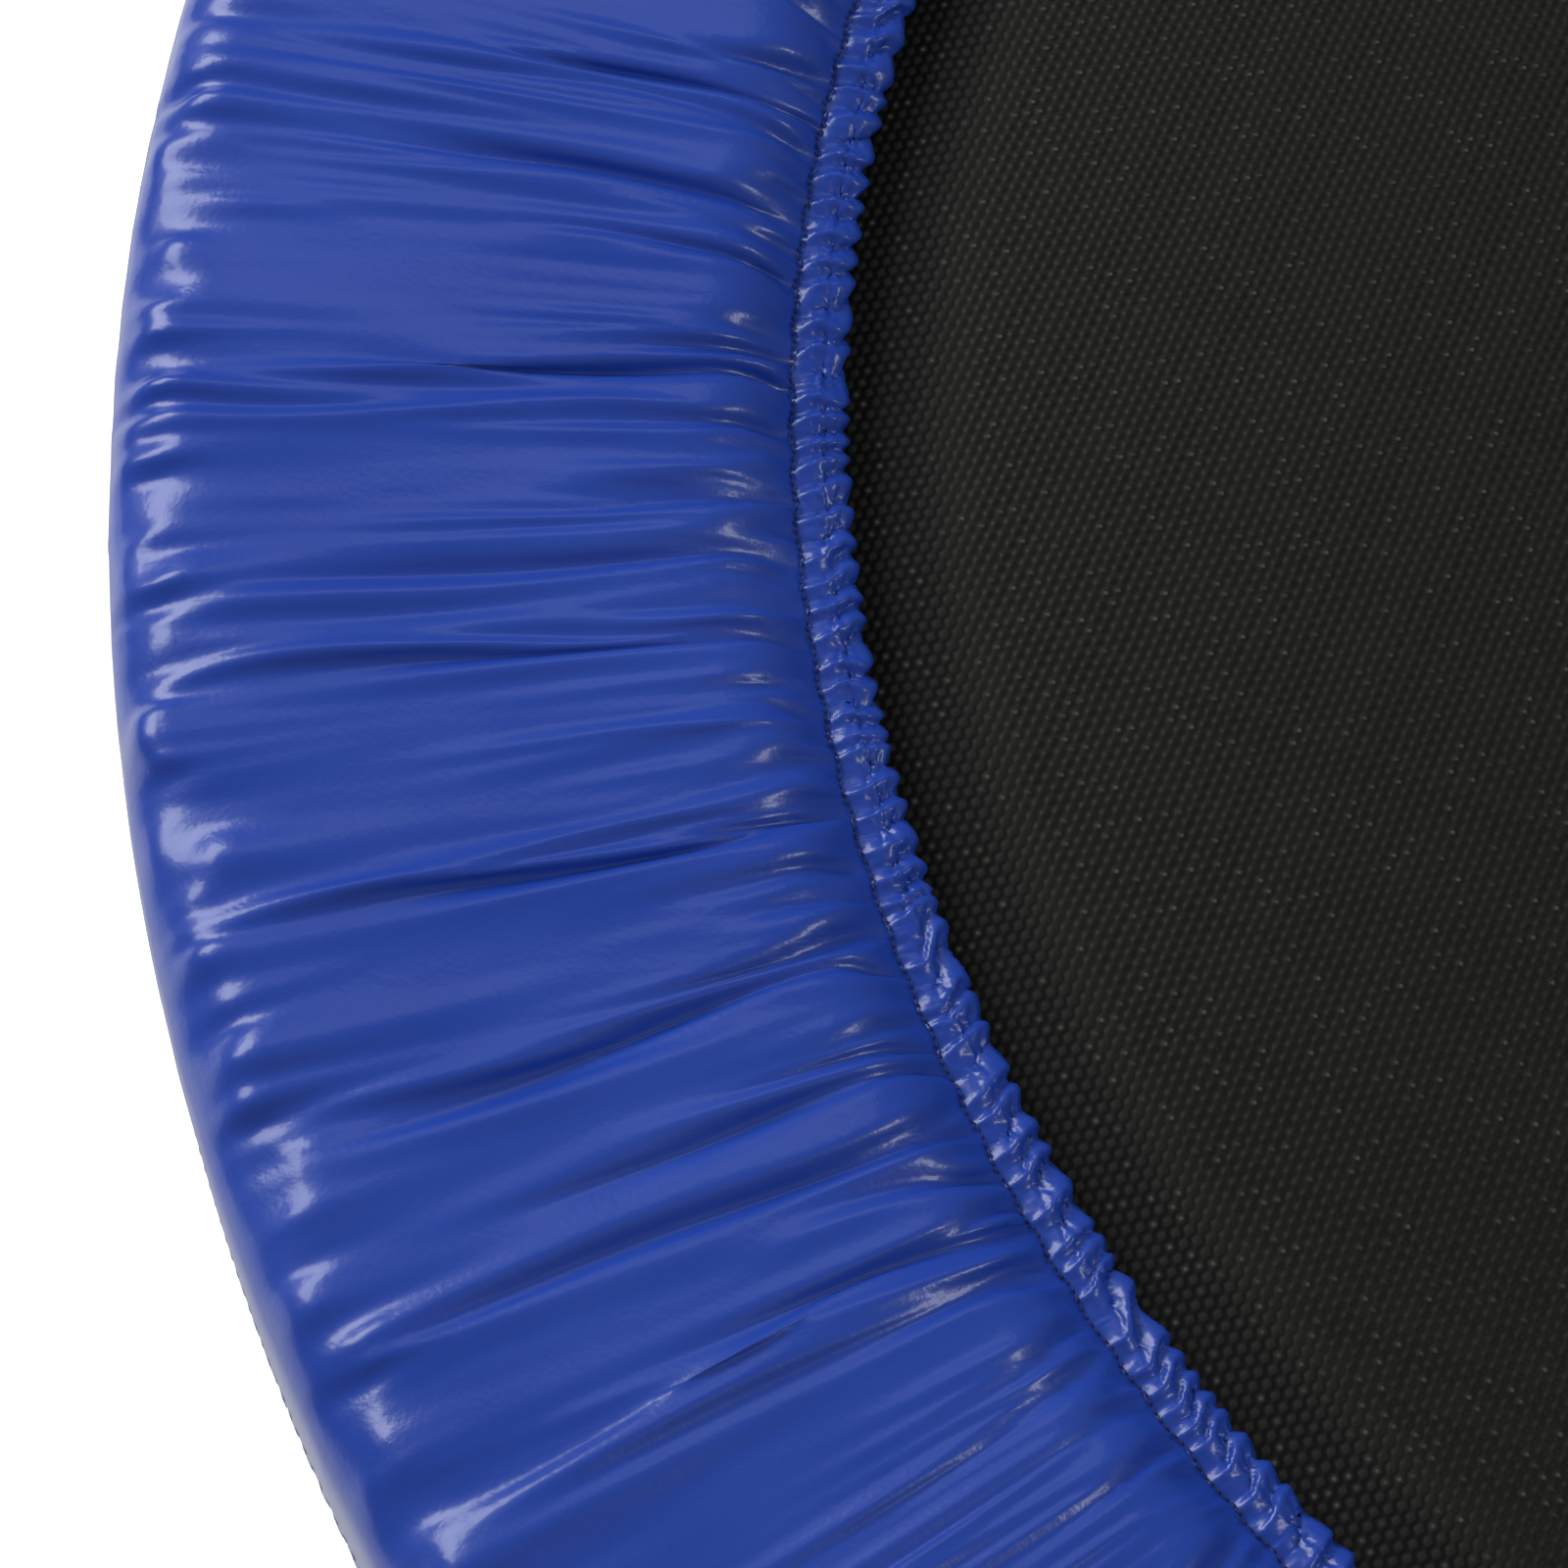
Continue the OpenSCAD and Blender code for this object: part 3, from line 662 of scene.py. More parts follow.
def shoulderGathers(around, across):
    # fine gathers over the shoulder that fade inwards, each at its own length
    look = cover["gathers"]
    height = bandNoise(around, look["count"], look["height"])
    inward = look["inward"][0] + np.abs(bandNoise(around, look["count"] // 2, look["inward"][1]))
    away = across[None] - look["middle"]
    return height[:, None] * np.exp(-(away / np.where(away < 0, inward[:, None], look["outward"])) ** 2)


def foamGive(across, rowRadius):
    # how much the foam under each row pushes back: firm at the shoulder, and a little at the seam
    foam = cover["foam"]
    soft, firm = foam["give"]
    give = soft + (firm - soft) * np.clip((rowRadius - foam["firmFrom"]) / foam["firmOver"], 0, 1)
    more, reach = foam["giveAtSeam"]
    return (give + more * np.exp(-across / reach)).astype(np.float32)


def gatherCover():
    radius, height, distance = coverOutline()
    foamRadius = np.linspace(cover["foam"]["inner"], shoulderRadius, 600)
    top = radius <= shoulderRadius
    foamHeight = np.interp(foamRadius, radius[top], height[top]).astype(np.float32)
    foamSlope = np.clip(np.gradient(foamHeight, foamRadius), *cover["foam"]["slopes"]).astype(np.float32)
    points = None
    for level in cover["levels"]:
        around, rows = level["around"], level["rows"]
        across = coverRows(distance, rows)
        rowRadius, rowHeight = np.interp(across, distance, radius), np.interp(across, distance, height)
        if points is None:
            dents = firstFolds(cover["levels"][-1]["around"], across)
            rowHeight = rowHeight[None] - dents[::len(dents) // around]
            points = onRing(rowRadius[None], anglesRound(around)[:, None], rowHeight).astype(np.float32)
        else:
            points = refineRing(points, oldAcross, across, around)
            dents = refineRing(dents[..., None], oldAcross, across, around)[..., 0]
        oldAcross = across
        dentsHere = dents[::len(dents) // around]
        rise = cover["liftAtSeam"] + (1 - cover["liftAtSeam"]) * np.clip(across / cover["liftOver"], 0, 1)
        lift = (cover["lift"] * rise).astype(np.float32)
        give = foamGive(across, rowRadius)
        places = np.arange(around) / around * len(seamLine)
        seamHere = [np.interp(places, np.arange(len(seamLine)), line) for line in seamLine.T]
        seamHere = np.stack(seamHere, -1) - np.array([0, 0, seam["groove"]], np.float32)

        def hold(cloth):
            # away is the distance to the foam, along the foam's own normal
            r = fromAxis(cloth)
            place = (r - foamRadius[0]) / (foamRadius[1] - foamRadius[0])
            place = np.clip(place, 0, len(foamRadius) - 1.01)
            low = place.astype(np.int32)
            under = foamHeight[low] + (foamHeight[low + 1] - foamHeight[low]) * (place - low)
            slope = foamSlope[low]
            size = 1 / np.sqrt(1 + slope ** 2)
            away, outward, upward = (cloth[..., 2] - under) * size, -slope * size, size
            dr, dz = r - shoulderRadius, cloth[..., 2] - shoulderHeight
            reach = np.maximum(np.hypot(dr, dz), 1e-9)
            corner, side = (dr > 0) & (dz > 0), (dr > 0) & (dz <= 0)
            away = np.where(corner, reach - cover["shoulder"], np.where(side, dr - cover["shoulder"], away))
            outward = np.where(corner, dr / reach, np.where(side, 1.0, outward))
            upward = np.where(corner, dz / reach, np.where(side, 0.0, upward))
            push = -np.minimum(away + dentsHere, 0) * give
            push = push - np.minimum(away + cover["foam"]["sink"], 0) * (1 - give)
            push -= np.maximum(away - lift, 0) * cover["pullDown"]
            towards(cloth, r, push * outward, push * upward)
            cloth[:, 0] = seamHere
            r = fromAxis(cloth[:, -1])
            towards(cloth[:, -1], r, cover["outer"] - r, 0)
            cloth[:, -1, 2] = cover["skirt"]

        fullness = 1 + (cover["outer"] / rowRadius - 1) * cover["gather"]
        lengths = tau * rowRadius / around * fullness, np.diff(across) * cover["tension"]
        points = relaxRing(points, *lengths, {**cover["fit"], **level}, hold)

    # takes out the finest crackle, and adds what is finer than the solver's own folds
    smooth = (np.roll(points, 1, 0) + np.roll(points, -1, 0) + 2 * points) / 4
    points[:, 1:-1] = smooth[:, 1:-1]
    normal = np.cross(np.roll(points, -1, 0) - np.roll(points, 1, 0), np.gradient(points, axis=1))
    normal /= -np.linalg.norm(normal, axis=2, keepdims=True)
    fine = shoulderGathers(around, across) + seamPuckers(around, across)
    return points + normal * fine[..., None], across


def flatPlaces(around, across):
    # where each point lies on the strip before it is gathered
    along = np.arange(around) * tau * cover["outer"] / around
    return np.stack(np.meshgrid(along, across, indexing="ij"), -1).reshape(-1, 2)


def ringCloth(name, points, across, flipped=False):
    around, rows = points.shape[:2]
    faces = gridFaces(around, rows)
    if flipped:
        faces = faces[:, ::-1]
    return buildMesh(name, points.reshape(-1, 3), faces, gloss, flatPlaces(around, across))


coverPoints, coverAcross = gatherCover()
springCover = ringCloth("spring_cover", coverPoints, coverAcross, flipped=True)
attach(springCover, "frame")
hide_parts("pad_cover", "pad_foam")
print("spring cover gathered:", coverPoints.shape[0], "x", coverPoints.shape[1])

# inner casing: the cover's edge folded round its elastic and gathered into small ruffles. The outline runs
# from the seam over the top, round the inner edge and back underneath; core and fullness are the nearest
# and furthest that the cloth comes to its middle. A ruffle has a sharp crest where crest is low, and a
# sharp valley where it is high
casing = {
    "outline": ((0.3328, 0.2141), (0.3298, 0.2143), (0.3268, 0.2134), (0.3246, 0.2118), (0.3239, 0.2104),
        (0.3247, 0.2089), (0.3270, 0.2078), (0.3306, 0.2073)),
    "middle": 0.32925, "height": 0.2106, "core": (0.0030, 0.0010), "fullness": (0.0064, 0.0046),
    "lowest": 0.2067, "deepest": 0.0026, "crackle": 0.00004, "gather": 1.2, "tension": 1.03,
    "innerEdge": 1.8, "shown": (1.1, 0.08, 0.6), "seamOut": 1.002, "squeeze": 0.1, "softest": 0.2,
    "crestAt": (0.2, 0.8), "fadeOver": (0.2, 0.3),
    "ruffles": [
        {"pitch": 0.0060, "depth": 0.0038, "uneven": 0.4, "size": (0.6, 1.2), "crest": (0.8, 1.9),
            "slant": 0.3, "lean": 0.7, "from": -0.3, "to": 1.5, "tilt": 0.1},
        {"pitch": 0.0034, "depth": 0.0008, "uneven": 0.45, "size": (0.3, 1.2), "crest": (0.8, 1.2),
            "slant": 0.5, "lean": 0.5, "from": -0.3, "to": 0.6, "tilt": 0},
    ],
    "around": 3840, "rows": 25, "fit": {"steps": 1, "bend": 0.005, "bendAcross": 0.01, "push": 5e-7},
}


def casingOutline(rows):
    start, end = (seam["radius"], seam["height"]), (seam["radius"], seam["under"])
    keys = np.array([start, *casing["outline"], end])
    distance = wayAlong(*keys.T)
    place = np.linspace(0, 1, rows)
    place = (place * (0.75 + 0.25 * place)) * distance[-1]   # rows closer together on top
    return np.interp(place, distance, keys[:, 0]), np.interp(place, distance, keys[:, 1]), place


def unevenPhase(around, pitch, uneven):
    count = int(tau * seam["radius"] / pitch)
    widths = rng.uniform(1 - uneven, 1 + uneven, count)
    edges = np.concatenate([[0], np.cumsum(widths)]) / widths.sum()
    return np.interp(np.arange(around) / around, edges, np.arange(count + 1))


def ruffle(around, away, look):
    # pinches with a sharp valley and a round ridge, steeper on one side, that slant and fade along
    phase = unevenPhase(around, look["pitch"], look["uneven"])
    cells = int(phase[-1]) + 1
    slant = bandNoise(around, cells // 2, look["slant"]) + look["lean"]
    bend = bandNoise(around, cells // 3, look["slant"] * 0.5)
    place = phase[:, None] + slant[:, None] * away[None] + bend[:, None] * np.sin(away * math.pi * 2)[None]
    cell = np.floor(place).astype(int) % cells
    share = place % 1
    side = rng.uniform(*casing["crestAt"], cells)[cell]
    size = rng.uniform(*look["size"], cells)[cell]
    rise = np.minimum(share / side, (1 - share) / (1 - side))
    fade = np.clip((away - look["from"]) / casing["fadeOver"][0], 0, 1)
    fade = fade * np.clip((look["to"] - away) / casing["fadeOver"][1], 0, 1)
    crest = look["crest"][0] + (look["crest"][1] - look["crest"][0]) * away[None]
    out = -look["depth"] * size * (1 - rise) ** crest * fade[None]
    return out, out * look["tilt"] * np.sign(side - 0.5)


def gatherCasing():
    around, rows = casing["around"], casing["rows"]
    radius, height, across = casingOutline(rows)
    share = across / across[-1]
    away = np.clip(share * casing["innerEdge"], 0, 1)   # 1 at the inner edge
    longer, start, curve = casing["shown"]
    shown = np.sin(np.clip(share * longer + start, 0, 1) * math.pi)[None] ** curve
    waves = [ruffle(around, away, look) for look in casing["ruffles"]]
    wave, aside = [sum(part) * shown for part in zip(*waves)]
    wave = casing["deepest"] * np.tanh(wave / casing["deepest"])   # stops at the elastic inside
    out = np.stack([radius - casing["middle"], height - casing["height"]])
    out /= np.linalg.norm(out, axis=0)
    angle = anglesRound(around)[:, None] + aside / seam["radius"]
    points = onRing(radius[None] + out[0] * wave, angle, height[None] + out[1] * wave)
    points += rng.normal(0, casing["crackle"], points.shape)
    topLine = seamLine * np.array([casing["seamOut"], casing["seamOut"], 1])
    topLine -= np.array([0, 0, seam["groove"]])
    underLine = onRing(seam["radius"], anglesRound(around), seam["under"])

    def hold(cloth):
        r = fromAxis(cloth)
        dr, dz = r - casing["middle"], cloth[..., 2] - casing["height"]
        inside, outside = [np.sqrt((dr / wide) ** 2 + (dz / high) ** 2)
            for wide, high in (casing["core"], casing["fullness"])]
        grow = np.where(inside < 1, 1 / np.maximum(inside, casing["softest"]), 1)
        grow = grow * np.where(outside > 1, 1 + (1 / outside - 1) * casing["squeeze"], 1)
        towards(cloth, r, dr * (grow - 1), dz * (grow - 1))
        cloth[..., 2] = np.maximum(cloth[..., 2], casing["lowest"])
        cloth[:, 0], cloth[:, -1] = topLine, underLine

    lengths = tau * radius / around * casing["gather"], np.diff(across) * casing["tension"]
    return relaxRing(points, *lengths, casing["fit"], hold), across


casingPoints, casingAcross = gatherCasing()
innerCasing = ringCloth("inner_casing_cloth", casingPoints, casingAcross)
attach(innerCasing, "frame")
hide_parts("inner_casing")
print("inner casing gathered:", casingPoints.shape[0], "x", casingPoints.shape[1])

# casing under the outer edge, with the elastic that pulls the skirt in. The outline goes down one side
# and up the other, in shares of half the width and of the depth
hem = {
    "radius": 0.45375, "top": 0.1889, "depth": 0.0085, "width": 0.0064,
    "outline": ((1, 0), (1.02, -0.35), (0.8, -0.75), (0, -1.0), (-0.8, -0.75), (-1.02, -0.35), (-1, 0)),
    "gather": 1.07, "pucker": 0.0075, "uneven": 0.3, "sway": 0.0005, "rise": 0.0003,
    "around": 1920, "rows": 16, "fit": {"steps": 40, "bend": 0.02, "bendAcross": 0.02, "push": 5e-6},
}


def gatherHem():
    around, rows = hem["around"], hem["rows"]
    half = hem["width"] / 2
    keys = np.array(hem["outline"]) * (half, 1)
    keys[:, 0] += hem["radius"]
    keys[:, 1] = hem["top"] + keys[:, 1] * hem["depth"]
    distance = wayAlong(*keys.T)
    across = np.linspace(0, distance[-1], rows)
    radius, height = np.interp(across, distance, keys[:, 0]), np.interp(across, distance, keys[:, 1])
    angle = anglesRound(around)
    count = int(tau * hem["radius"] / hem["pucker"])
    phase = np.cumsum(1 + bandNoise(around, count, hem["uneven"]))
    phase *= count * tau / phase[-1]
    wave = np.sin(phase)[:, None] * np.sin(across / across[-1] * math.pi)[None]
    sway = np.sign(radius - hem["radius"])[None] * hem["sway"]
    points = onRing(radius[None] + sway * wave, angle[:, None], height[None] + hem["rise"] * wave)
    skirtEdge = onRing(cover["outer"], angle, cover["skirt"])
    innerEdge = onRing(radius[-1], angle, hem["top"])

    def hold(cloth):
        r = fromAxis(cloth)
        towards(cloth, r, np.clip(r, hem["radius"] - half, cover["outer"]) - r, 0)
        cloth[..., 2] = np.maximum(cloth[..., 2], hem["top"] - hem["depth"])
        cloth[:, 0], cloth[:, -1] = skirtEdge, innerEdge

    return relaxRing(points, tau * radius / around * hem["gather"], np.diff(across), hem["fit"], hold), across


hemPoints, hemAcross = gatherHem()
outerCasing = ringCloth("outer_casing_cloth", hemPoints, hemAcross, flipped=True)
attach(outerCasing, "frame")
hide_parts("outer_casing")
print("outer casing gathered:", hemPoints.shape[0], "x", hemPoints.shape[1])

# stitches: short raised threads that follow a line round the ring
stitch = {"length": 0.00125, "pitch": 0.0017, "radius": 0.00024, "lift": 0.00022, "slant": 0.1}
thread = {"thickness": (0.45, 0.95, 1, 0.95, 0.45), "arch": 0.6, "sink": 0.6, "sides": 6}   # of every stitch


def stitchRow(line, look, normal):
    # line is a closed row of points; normal tells which way a stitch stands up
    normal = np.asarray(normal, float)
    gaps = np.linalg.norm(np.roll(line, -1, 0) - line, axis=1)
    distance = np.concatenate([[0], np.cumsum(gaps)])
    loop = np.concatenate([line, line[:1]])
    count, parts, sides = int(distance[-1] / look["pitch"]), len(thread["thickness"]), thread["sides"]
    share = np.linspace(0, 1, parts)
    place = (np.arange(count)[:, None] + share[None] * look["length"] / look["pitch"]) * distance[-1] / count
    path = np.stack([np.interp(place, distance, column) for column in loop.T], -1)
    arch = np.sin(share * math.pi) ** thread["arch"]
    path += normal * (look["lift"] * arch - look["radius"] * thread["sink"] * (1 - arch))[None, :, None]
    along = path[:, -1] - path[:, 0]
    along /= np.linalg.norm(along, axis=1)[:, None]
    side = np.cross(along, normal)
    side /= np.linalg.norm(side, axis=1)[:, None]
    up = np.cross(side, along)
    slant = np.linspace(-0.5, 0.5, parts) * look["slant"] * look["length"]
    path += side[:, None] * slant[None, :, None]
    turn = anglesRound(sides)
    thickness = np.array(thread["thickness"]) * look["radius"]
    section = side[:, None, :] * np.cos(turn)[None, :, None] + up[:, None, :] * np.sin(turn)[None, :, None]
    points = path[:, :, None, :] + section[:, None] * thickness[None, :, None, None]
    faces = gridFaces(parts, sides, False, True)
    allFaces = faces[None] + (np.arange(count) * parts * sides)[:, None, None]
    return points.reshape(-1, 3), allFaces.reshape(-1, 4)


skirtStitch = {**stitch, "pitch": 0.0034, "length": 0.0025, "lift": 0.0001, "inset": 0.00014, "above": 0.0006}
skirtLine = onRing(cover["outer"] - skirtStitch["inset"], anglesRound(hem["around"]),
    cover["skirt"] + skirtStitch["above"])
seamStitches = buildMesh("seam_stitches", *stitchRow(seamLine, stitch, (0, 0, 1)), blueThread)
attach(seamStitches, "frame")
skirtStitches = buildMesh("skirt_stitches", *stitchRow(skirtLine, skirtStitch, (0, 0, 1)), blueThread)
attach(skirtStitches, "frame")
print("stitches sewn:", len(seamStitches.data.polygons), len(skirtStitches.data.polygons))

# cloth under the foam: flat rows from the inner seam to the pad's edge, then side rows down to the hem,
# loosely puckered by the elastics. It lies flat where the steel ring carries it
backing = {
    "inner": 0.3346, "edge": 0.4505, "outer": 0.4545, "height": 0.21055, "lift": 0.0003, "slope": 0.0641,
    "tuck": 0.0002, "around": 1920, "flatRows": 26, "sideRows": 14, "pucker": 0.0013, "sidePucker": 0.25,
    "waves": ((96, 0.5), (150, 0.35), (230, 0.3)), "shift": (40, 1.6), "lean": (24, 1.2), "uneven": 0.3,
    "flatFrom": 0.424, "flatOver": 0.02, "sideFrom": 0.452, "sideOver": 0.002,
    "turn": 3, "downCurve": 1.4, "waveSize": 0.6, "fade": (1.05, 0.6, 6),
}


def makeBacking():
    look = backing
    around, flatRows = look["around"], look["flatRows"]
    inner, edge = look["inner"], look["edge"]
    down = np.linspace(0, 1, look["sideRows"] + 1)[1:]
    side = edge + (look["outer"] - edge) * np.sin(np.clip(down * look["turn"], 0, 1) * math.pi / 2)
    radius = np.concatenate([np.linspace(inner, edge, flatRows), side])
    height = look["height"] + look["lift"] + (radius - inner) * look["slope"]
    top = height[flatRows - 1]
    height[flatRows:] = top - (top - hem["top"] + look["tuck"]) * down ** look["downCurve"]
    height[0] = seam["under"]
    height[1] = (height[0] + height[2]) / 2
    angle = anglesRound(around)[:, None]
    place = (radius - inner) / (edge - inner)
    waves = np.zeros((around, len(radius)))
    for count, size in look["waves"]:
        shift = bandNoise(around, *look["shift"])[:, None]
        lean = bandNoise(around, *look["lean"])[:, None]
        ridge = 1 - np.abs(np.sin((count * angle + shift + lean * place) / 2))
        waves += size * ridge * (look["waveSize"] + bandNoise(around, count, look["uneven"]))[:, None]
    end, curve, start = look["fade"]
    fade = np.clip(end - place, 0, 1) ** curve * np.clip(place * start, 0, 1)
    fade *= np.clip((look["flatFrom"] - radius) / look["flatOver"], 0, 1)
    aside = np.clip((radius - look["sideFrom"]) / look["sideOver"], 0, 1) * look["sidePucker"]
    puckers = look["pucker"] * waves
    points = onRing(radius - puckers * aside, angle, height - puckers * fade)
    return buildMesh("pad_backing_cloth", points.reshape(-1, 3), gridFaces(*points.shape[:2]), backingCloth)


padBacking = makeBacking()
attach(padBacking, "frame")
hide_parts("pad_backing")
print("backing cloth made")

# woven mat, pulled flat by the springs
jumpMat = {"radius": 0.3421, "pull": (0.0006, 12), "lift": (0.00012, 10), "sag": 0.0012, "around": 432,
    "rows": 48, "towardsEdge": 0.75, "middle": 0.0002}


def makeMat():
    share = (np.linspace(0, 1, jumpMat["rows"]) ** jumpMat["towardsEdge"])[None]
    angle = anglesRound(jumpMat["around"])[:, None]
    (pull, pullCurve), (lift, liftCurve) = jumpMat["pull"], jumpMat["lift"]
    pull = pull * (np.cos(ring["springs"] * angle + math.pi) - 1) * share ** pullCurve
    radius = np.maximum(share * jumpMat["radius"] + pull, jumpMat["middle"])
    height = ring["height"] - jumpMat["sag"] * (1 - share ** 2)
    height = height + lift * np.cos(ring["springs"] * angle) * share ** liftCurve
    points = onRing(radius, angle, height)
    return buildMesh("woven_mat", points.reshape(-1, 3), gridFaces(*points.shape[:2])[:, ::-1], matWeave)


mat = makeMat()
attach(mat, "mat")
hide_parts("jump_mat")
print("mat made")

# webbing folded over the mat's edge, with a tab round each V ring. A tab is two flat ends and a loop;
# its places across are shares of its half width, with the thickness there
webbing = {
    "inner": 0.3301, "outer": 0.3425, "half": 0.0015, "around": 720, "edge": 0.001, "corner": 0.0003,
    "ripples": ((0.00012, 240, 0), (0.0001, 97, 1)),
    "bar": 0.3442, "loop": 0.0023, "loopTurn": 118, "thick": 0.0009, "tab": 0.020, "tabInner": 0.3318,
    "tabStep": 0.0016, "tabGap": 0.0005, "neck": (0.3416, 0.0021),
    "across": ((-1, 0.4), (-0.985, 1), (-0.8, 1), (-0.4, 1), (0, 1), (0.4, 1), (0.8, 1), (0.985, 1),
        (1, 0.4)),
}


def webbingBand():
    inner, outer, half = webbing["inner"], webbing["outer"], webbing["half"]
    edge, corner = webbing["edge"], webbing["corner"]
    top = [(inner, half * 0.4), (inner + corner, half * 0.93)]
    top += [(inner + edge + (outer - inner - 2 * edge) * share, half) for share in np.linspace(0, 1, 7)]
    top += [(outer - corner, half * 0.9), (outer, half * 0.4)]
    outline = np.array(top + [(x, -z) for x, z in reversed(top)])
    angle = anglesRound(webbing["around"])[:, None]
    ripple = sum(size * np.sin(angle * count + start) for size, count, start in webbing["ripples"])
    fromMiddle = np.abs((outline[:, 0] - inner) / (outer - inner) - 0.5)
    height = ring["height"] + outline[:, 1] + ripple * np.sign(outline[:, 1]) * (1 - fromMiddle * 1.6)
    return onRing(outline[:, 0], angle, height).reshape(-1, 3), gridFaces(webbing["around"], len(outline))


def webbingTab():
    above = webbing["half"] + webbing["tabGap"]
    flat = [(webbing["tabInner"] + k * webbing["tabStep"], above) for k in range(6)] + [webbing["neck"]]
    turn = np.linspace(math.radians(webbing["loopTurn"]), math.radians(-webbing["loopTurn"]), 15)
    loop = [(webbing["bar"] + webbing["loop"] * math.cos(t), webbing["loop"] * math.sin(t)) for t in turn]
    path = np.array(flat + loop + [(x, -z) for x, z in reversed(flat)])
    step = np.gradient(path, axis=0)
    step /= np.linalg.norm(step, axis=1)[:, None]
    normal = np.stack([-step[:, 1], step[:, 0]], -1) * webbing["thick"] / 2
    points = []
    for place, thick in webbing["across"]:
        x, z = np.concatenate([path + normal * thick, (path - normal * thick)[::-1]]).T
        points.append(np.stack([x, np.full(len(x), place * webbing["tab"] / 2), ring["height"] + z], -1))
    return np.concatenate(points), gridFaces(len(points), len(points[0]), False, True)


webbingTabs = copies(*webbingTab(), springAngles)
matHem = buildMesh("mat_webbing", *joined([webbingBand(), webbingTabs]), webbingCloth)
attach(matHem, "mat")
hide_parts("mat_hem")

# black thread: rows round the webbing above and below, and two short rows on each side of a tab
hemStitch = {"rows": (0.3315, 0.3408), "length": 0.0029, "pitch": 0.0040, "radius": 0.0003, "lift": 0.00012,
    "slant": 0.05, "off": 0.0001, "around": 1440}
tabStitch = {"rows": (0.3335, 0.3385), "length": 0.0025, "pitch": 0.0034, "radius": 0.0003, "arch": 0.0002,
    "off": 0.00095, "start": -0.008, "count": 5, "along": ((0, 0.5), (0.3, 1), (0.7, 1), (1, 0.5))}


def webbingStitches():
    rows, short = [], []
    for radius in hemStitch["rows"]:
        for side in (1, -1):
            height = ring["height"] + side * (webbing["half"] + hemStitch["off"])
            line = onRing(radius, anglesRound(hemStitch["around"]), height)
            rows.append(stitchRow(line, hemStitch, (0, 0, side)))
    for radius in tabStitch["rows"]:
        for side in (1, -1):
            for k in range(tabStitch["count"]):
                start = tabStitch["start"] + k * tabStitch["pitch"]
                share, thickness = np.array(tabStitch["along"]).T
                above = webbing["half"] + tabStitch["off"] + tabStitch["arch"] * np.sin(share * math.pi)
                path = np.stack([np.full(len(share), radius), start + tabStitch["length"] * share,
                    ring["height"] + side * above], -1)
                short.append(sweepTube(path, thickness * tabStitch["radius"], thread["sides"]))
    return joined(rows + [copies(*joined(short), springAngles)])


hemStitches = buildMesh("webbing_stitches", *webbingStitches(), blackThread)
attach(hemStitches, "mat")
print("webbing sewn on")

# springs: closed coils with a hook round the V ring and one through the steel ring
spring = {
    "wire": 0.0012, "sides": 7, "coil": 0.00405, "from": 0.3695, "to": 0.4175, "turns": 16.5, "perTurn": 14,
    "taper": 0.004, "taperCurve": 0.7, "lead": 0.001, "hookAt": 0.3622, "hook": 0.0030,
    "hookBow": (285, 20, -12), "neck": ((0.0034, 0.0006), (0.0044, 0)), "tip": 0.4297, "bend": 0.0024,
    "bendBow": (-90, 1, 15), "straight": 0.002, "rise": 0.0050, "hooked": (0.366, 0.424),
}


def springPath():
    z, first, last, lead = ring["height"], spring["from"], spring["to"], spring["lead"]

    def bow(x, z, size, degrees):
        turns = [math.radians(angle) for angle in range(*degrees)]
        return [(x + size * math.cos(turn), 0, z + size * math.sin(turn)) for turn in turns]

    path = bow(spring["hookAt"], z, spring["hook"], spring["hookBow"])
    path += [(spring["hookAt"] + x, 0, z + up) for x, up in spring["neck"]] + [(first - lead, 0, z)]
    steps = int(spring["turns"] * spring["perTurn"])
    for k in range(steps + 1):
        x = first + (last - first) * k / steps
        out = np.clip(min(x - first, last - x) / spring["taper"], 0, 1)
        size = spring["coil"] * math.sin(out * math.pi / 2) ** spring["taperCurve"]
        turn = k / steps * spring["turns"] * tau
        path.append((x, size * math.cos(turn), z + size * math.sin(turn)))
    bendAt = spring["tip"] - spring["bend"]
    path += [(last + lead, 0, z), (bendAt - spring["straight"], 0, z)]
    path += bow(bendAt, z + spring["bend"], spring["bend"], spring["bendBow"])
    return np.array(path + [(spring["tip"], 0, z + spring["rise"])])


springPoints, springFaces = sweepTube(springPath(), spring["wire"], spring["sides"])
for number, angle in enumerate(springAngles):
    coil = buildMesh(f"spring_{number + 1:02d}", turned(springPoints, angle), springFaces, zincPlate)
    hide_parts("springs")
    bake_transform(coil)
print("springs hooked in")

# studs with their wound thread on a flanged plug. The plug's outline is radius and height, from the top
# of the flange round its edge, down the plug and up inside it
stud = {
    "radius": 0.005, "root": 0.0043, "pitch": 0.0015, "bottom": 0.172, "top": 0.190, "blunt": 0.0001,
    "runOut": 0.001, "steps": 36, "plugSides": 48,
    "end": ((0.00005, 0), (0.0037, 0), (0.0043, -0.0007), (0.0043, -0.0018)),
    "plug": ((0.0001, 0.1721), (0.0043, 0.1721), (0.0119, 0.172), (0.0124, 0.1715), (0.0125, 0.1708),
        (0.0125, 0.1688), (0.0123, 0.1681), (0.0109, 0.168), (0.0109, 0.150), (0.008, 0.150),
        (0.008, 0.165), (0.0001, 0.165)),
}


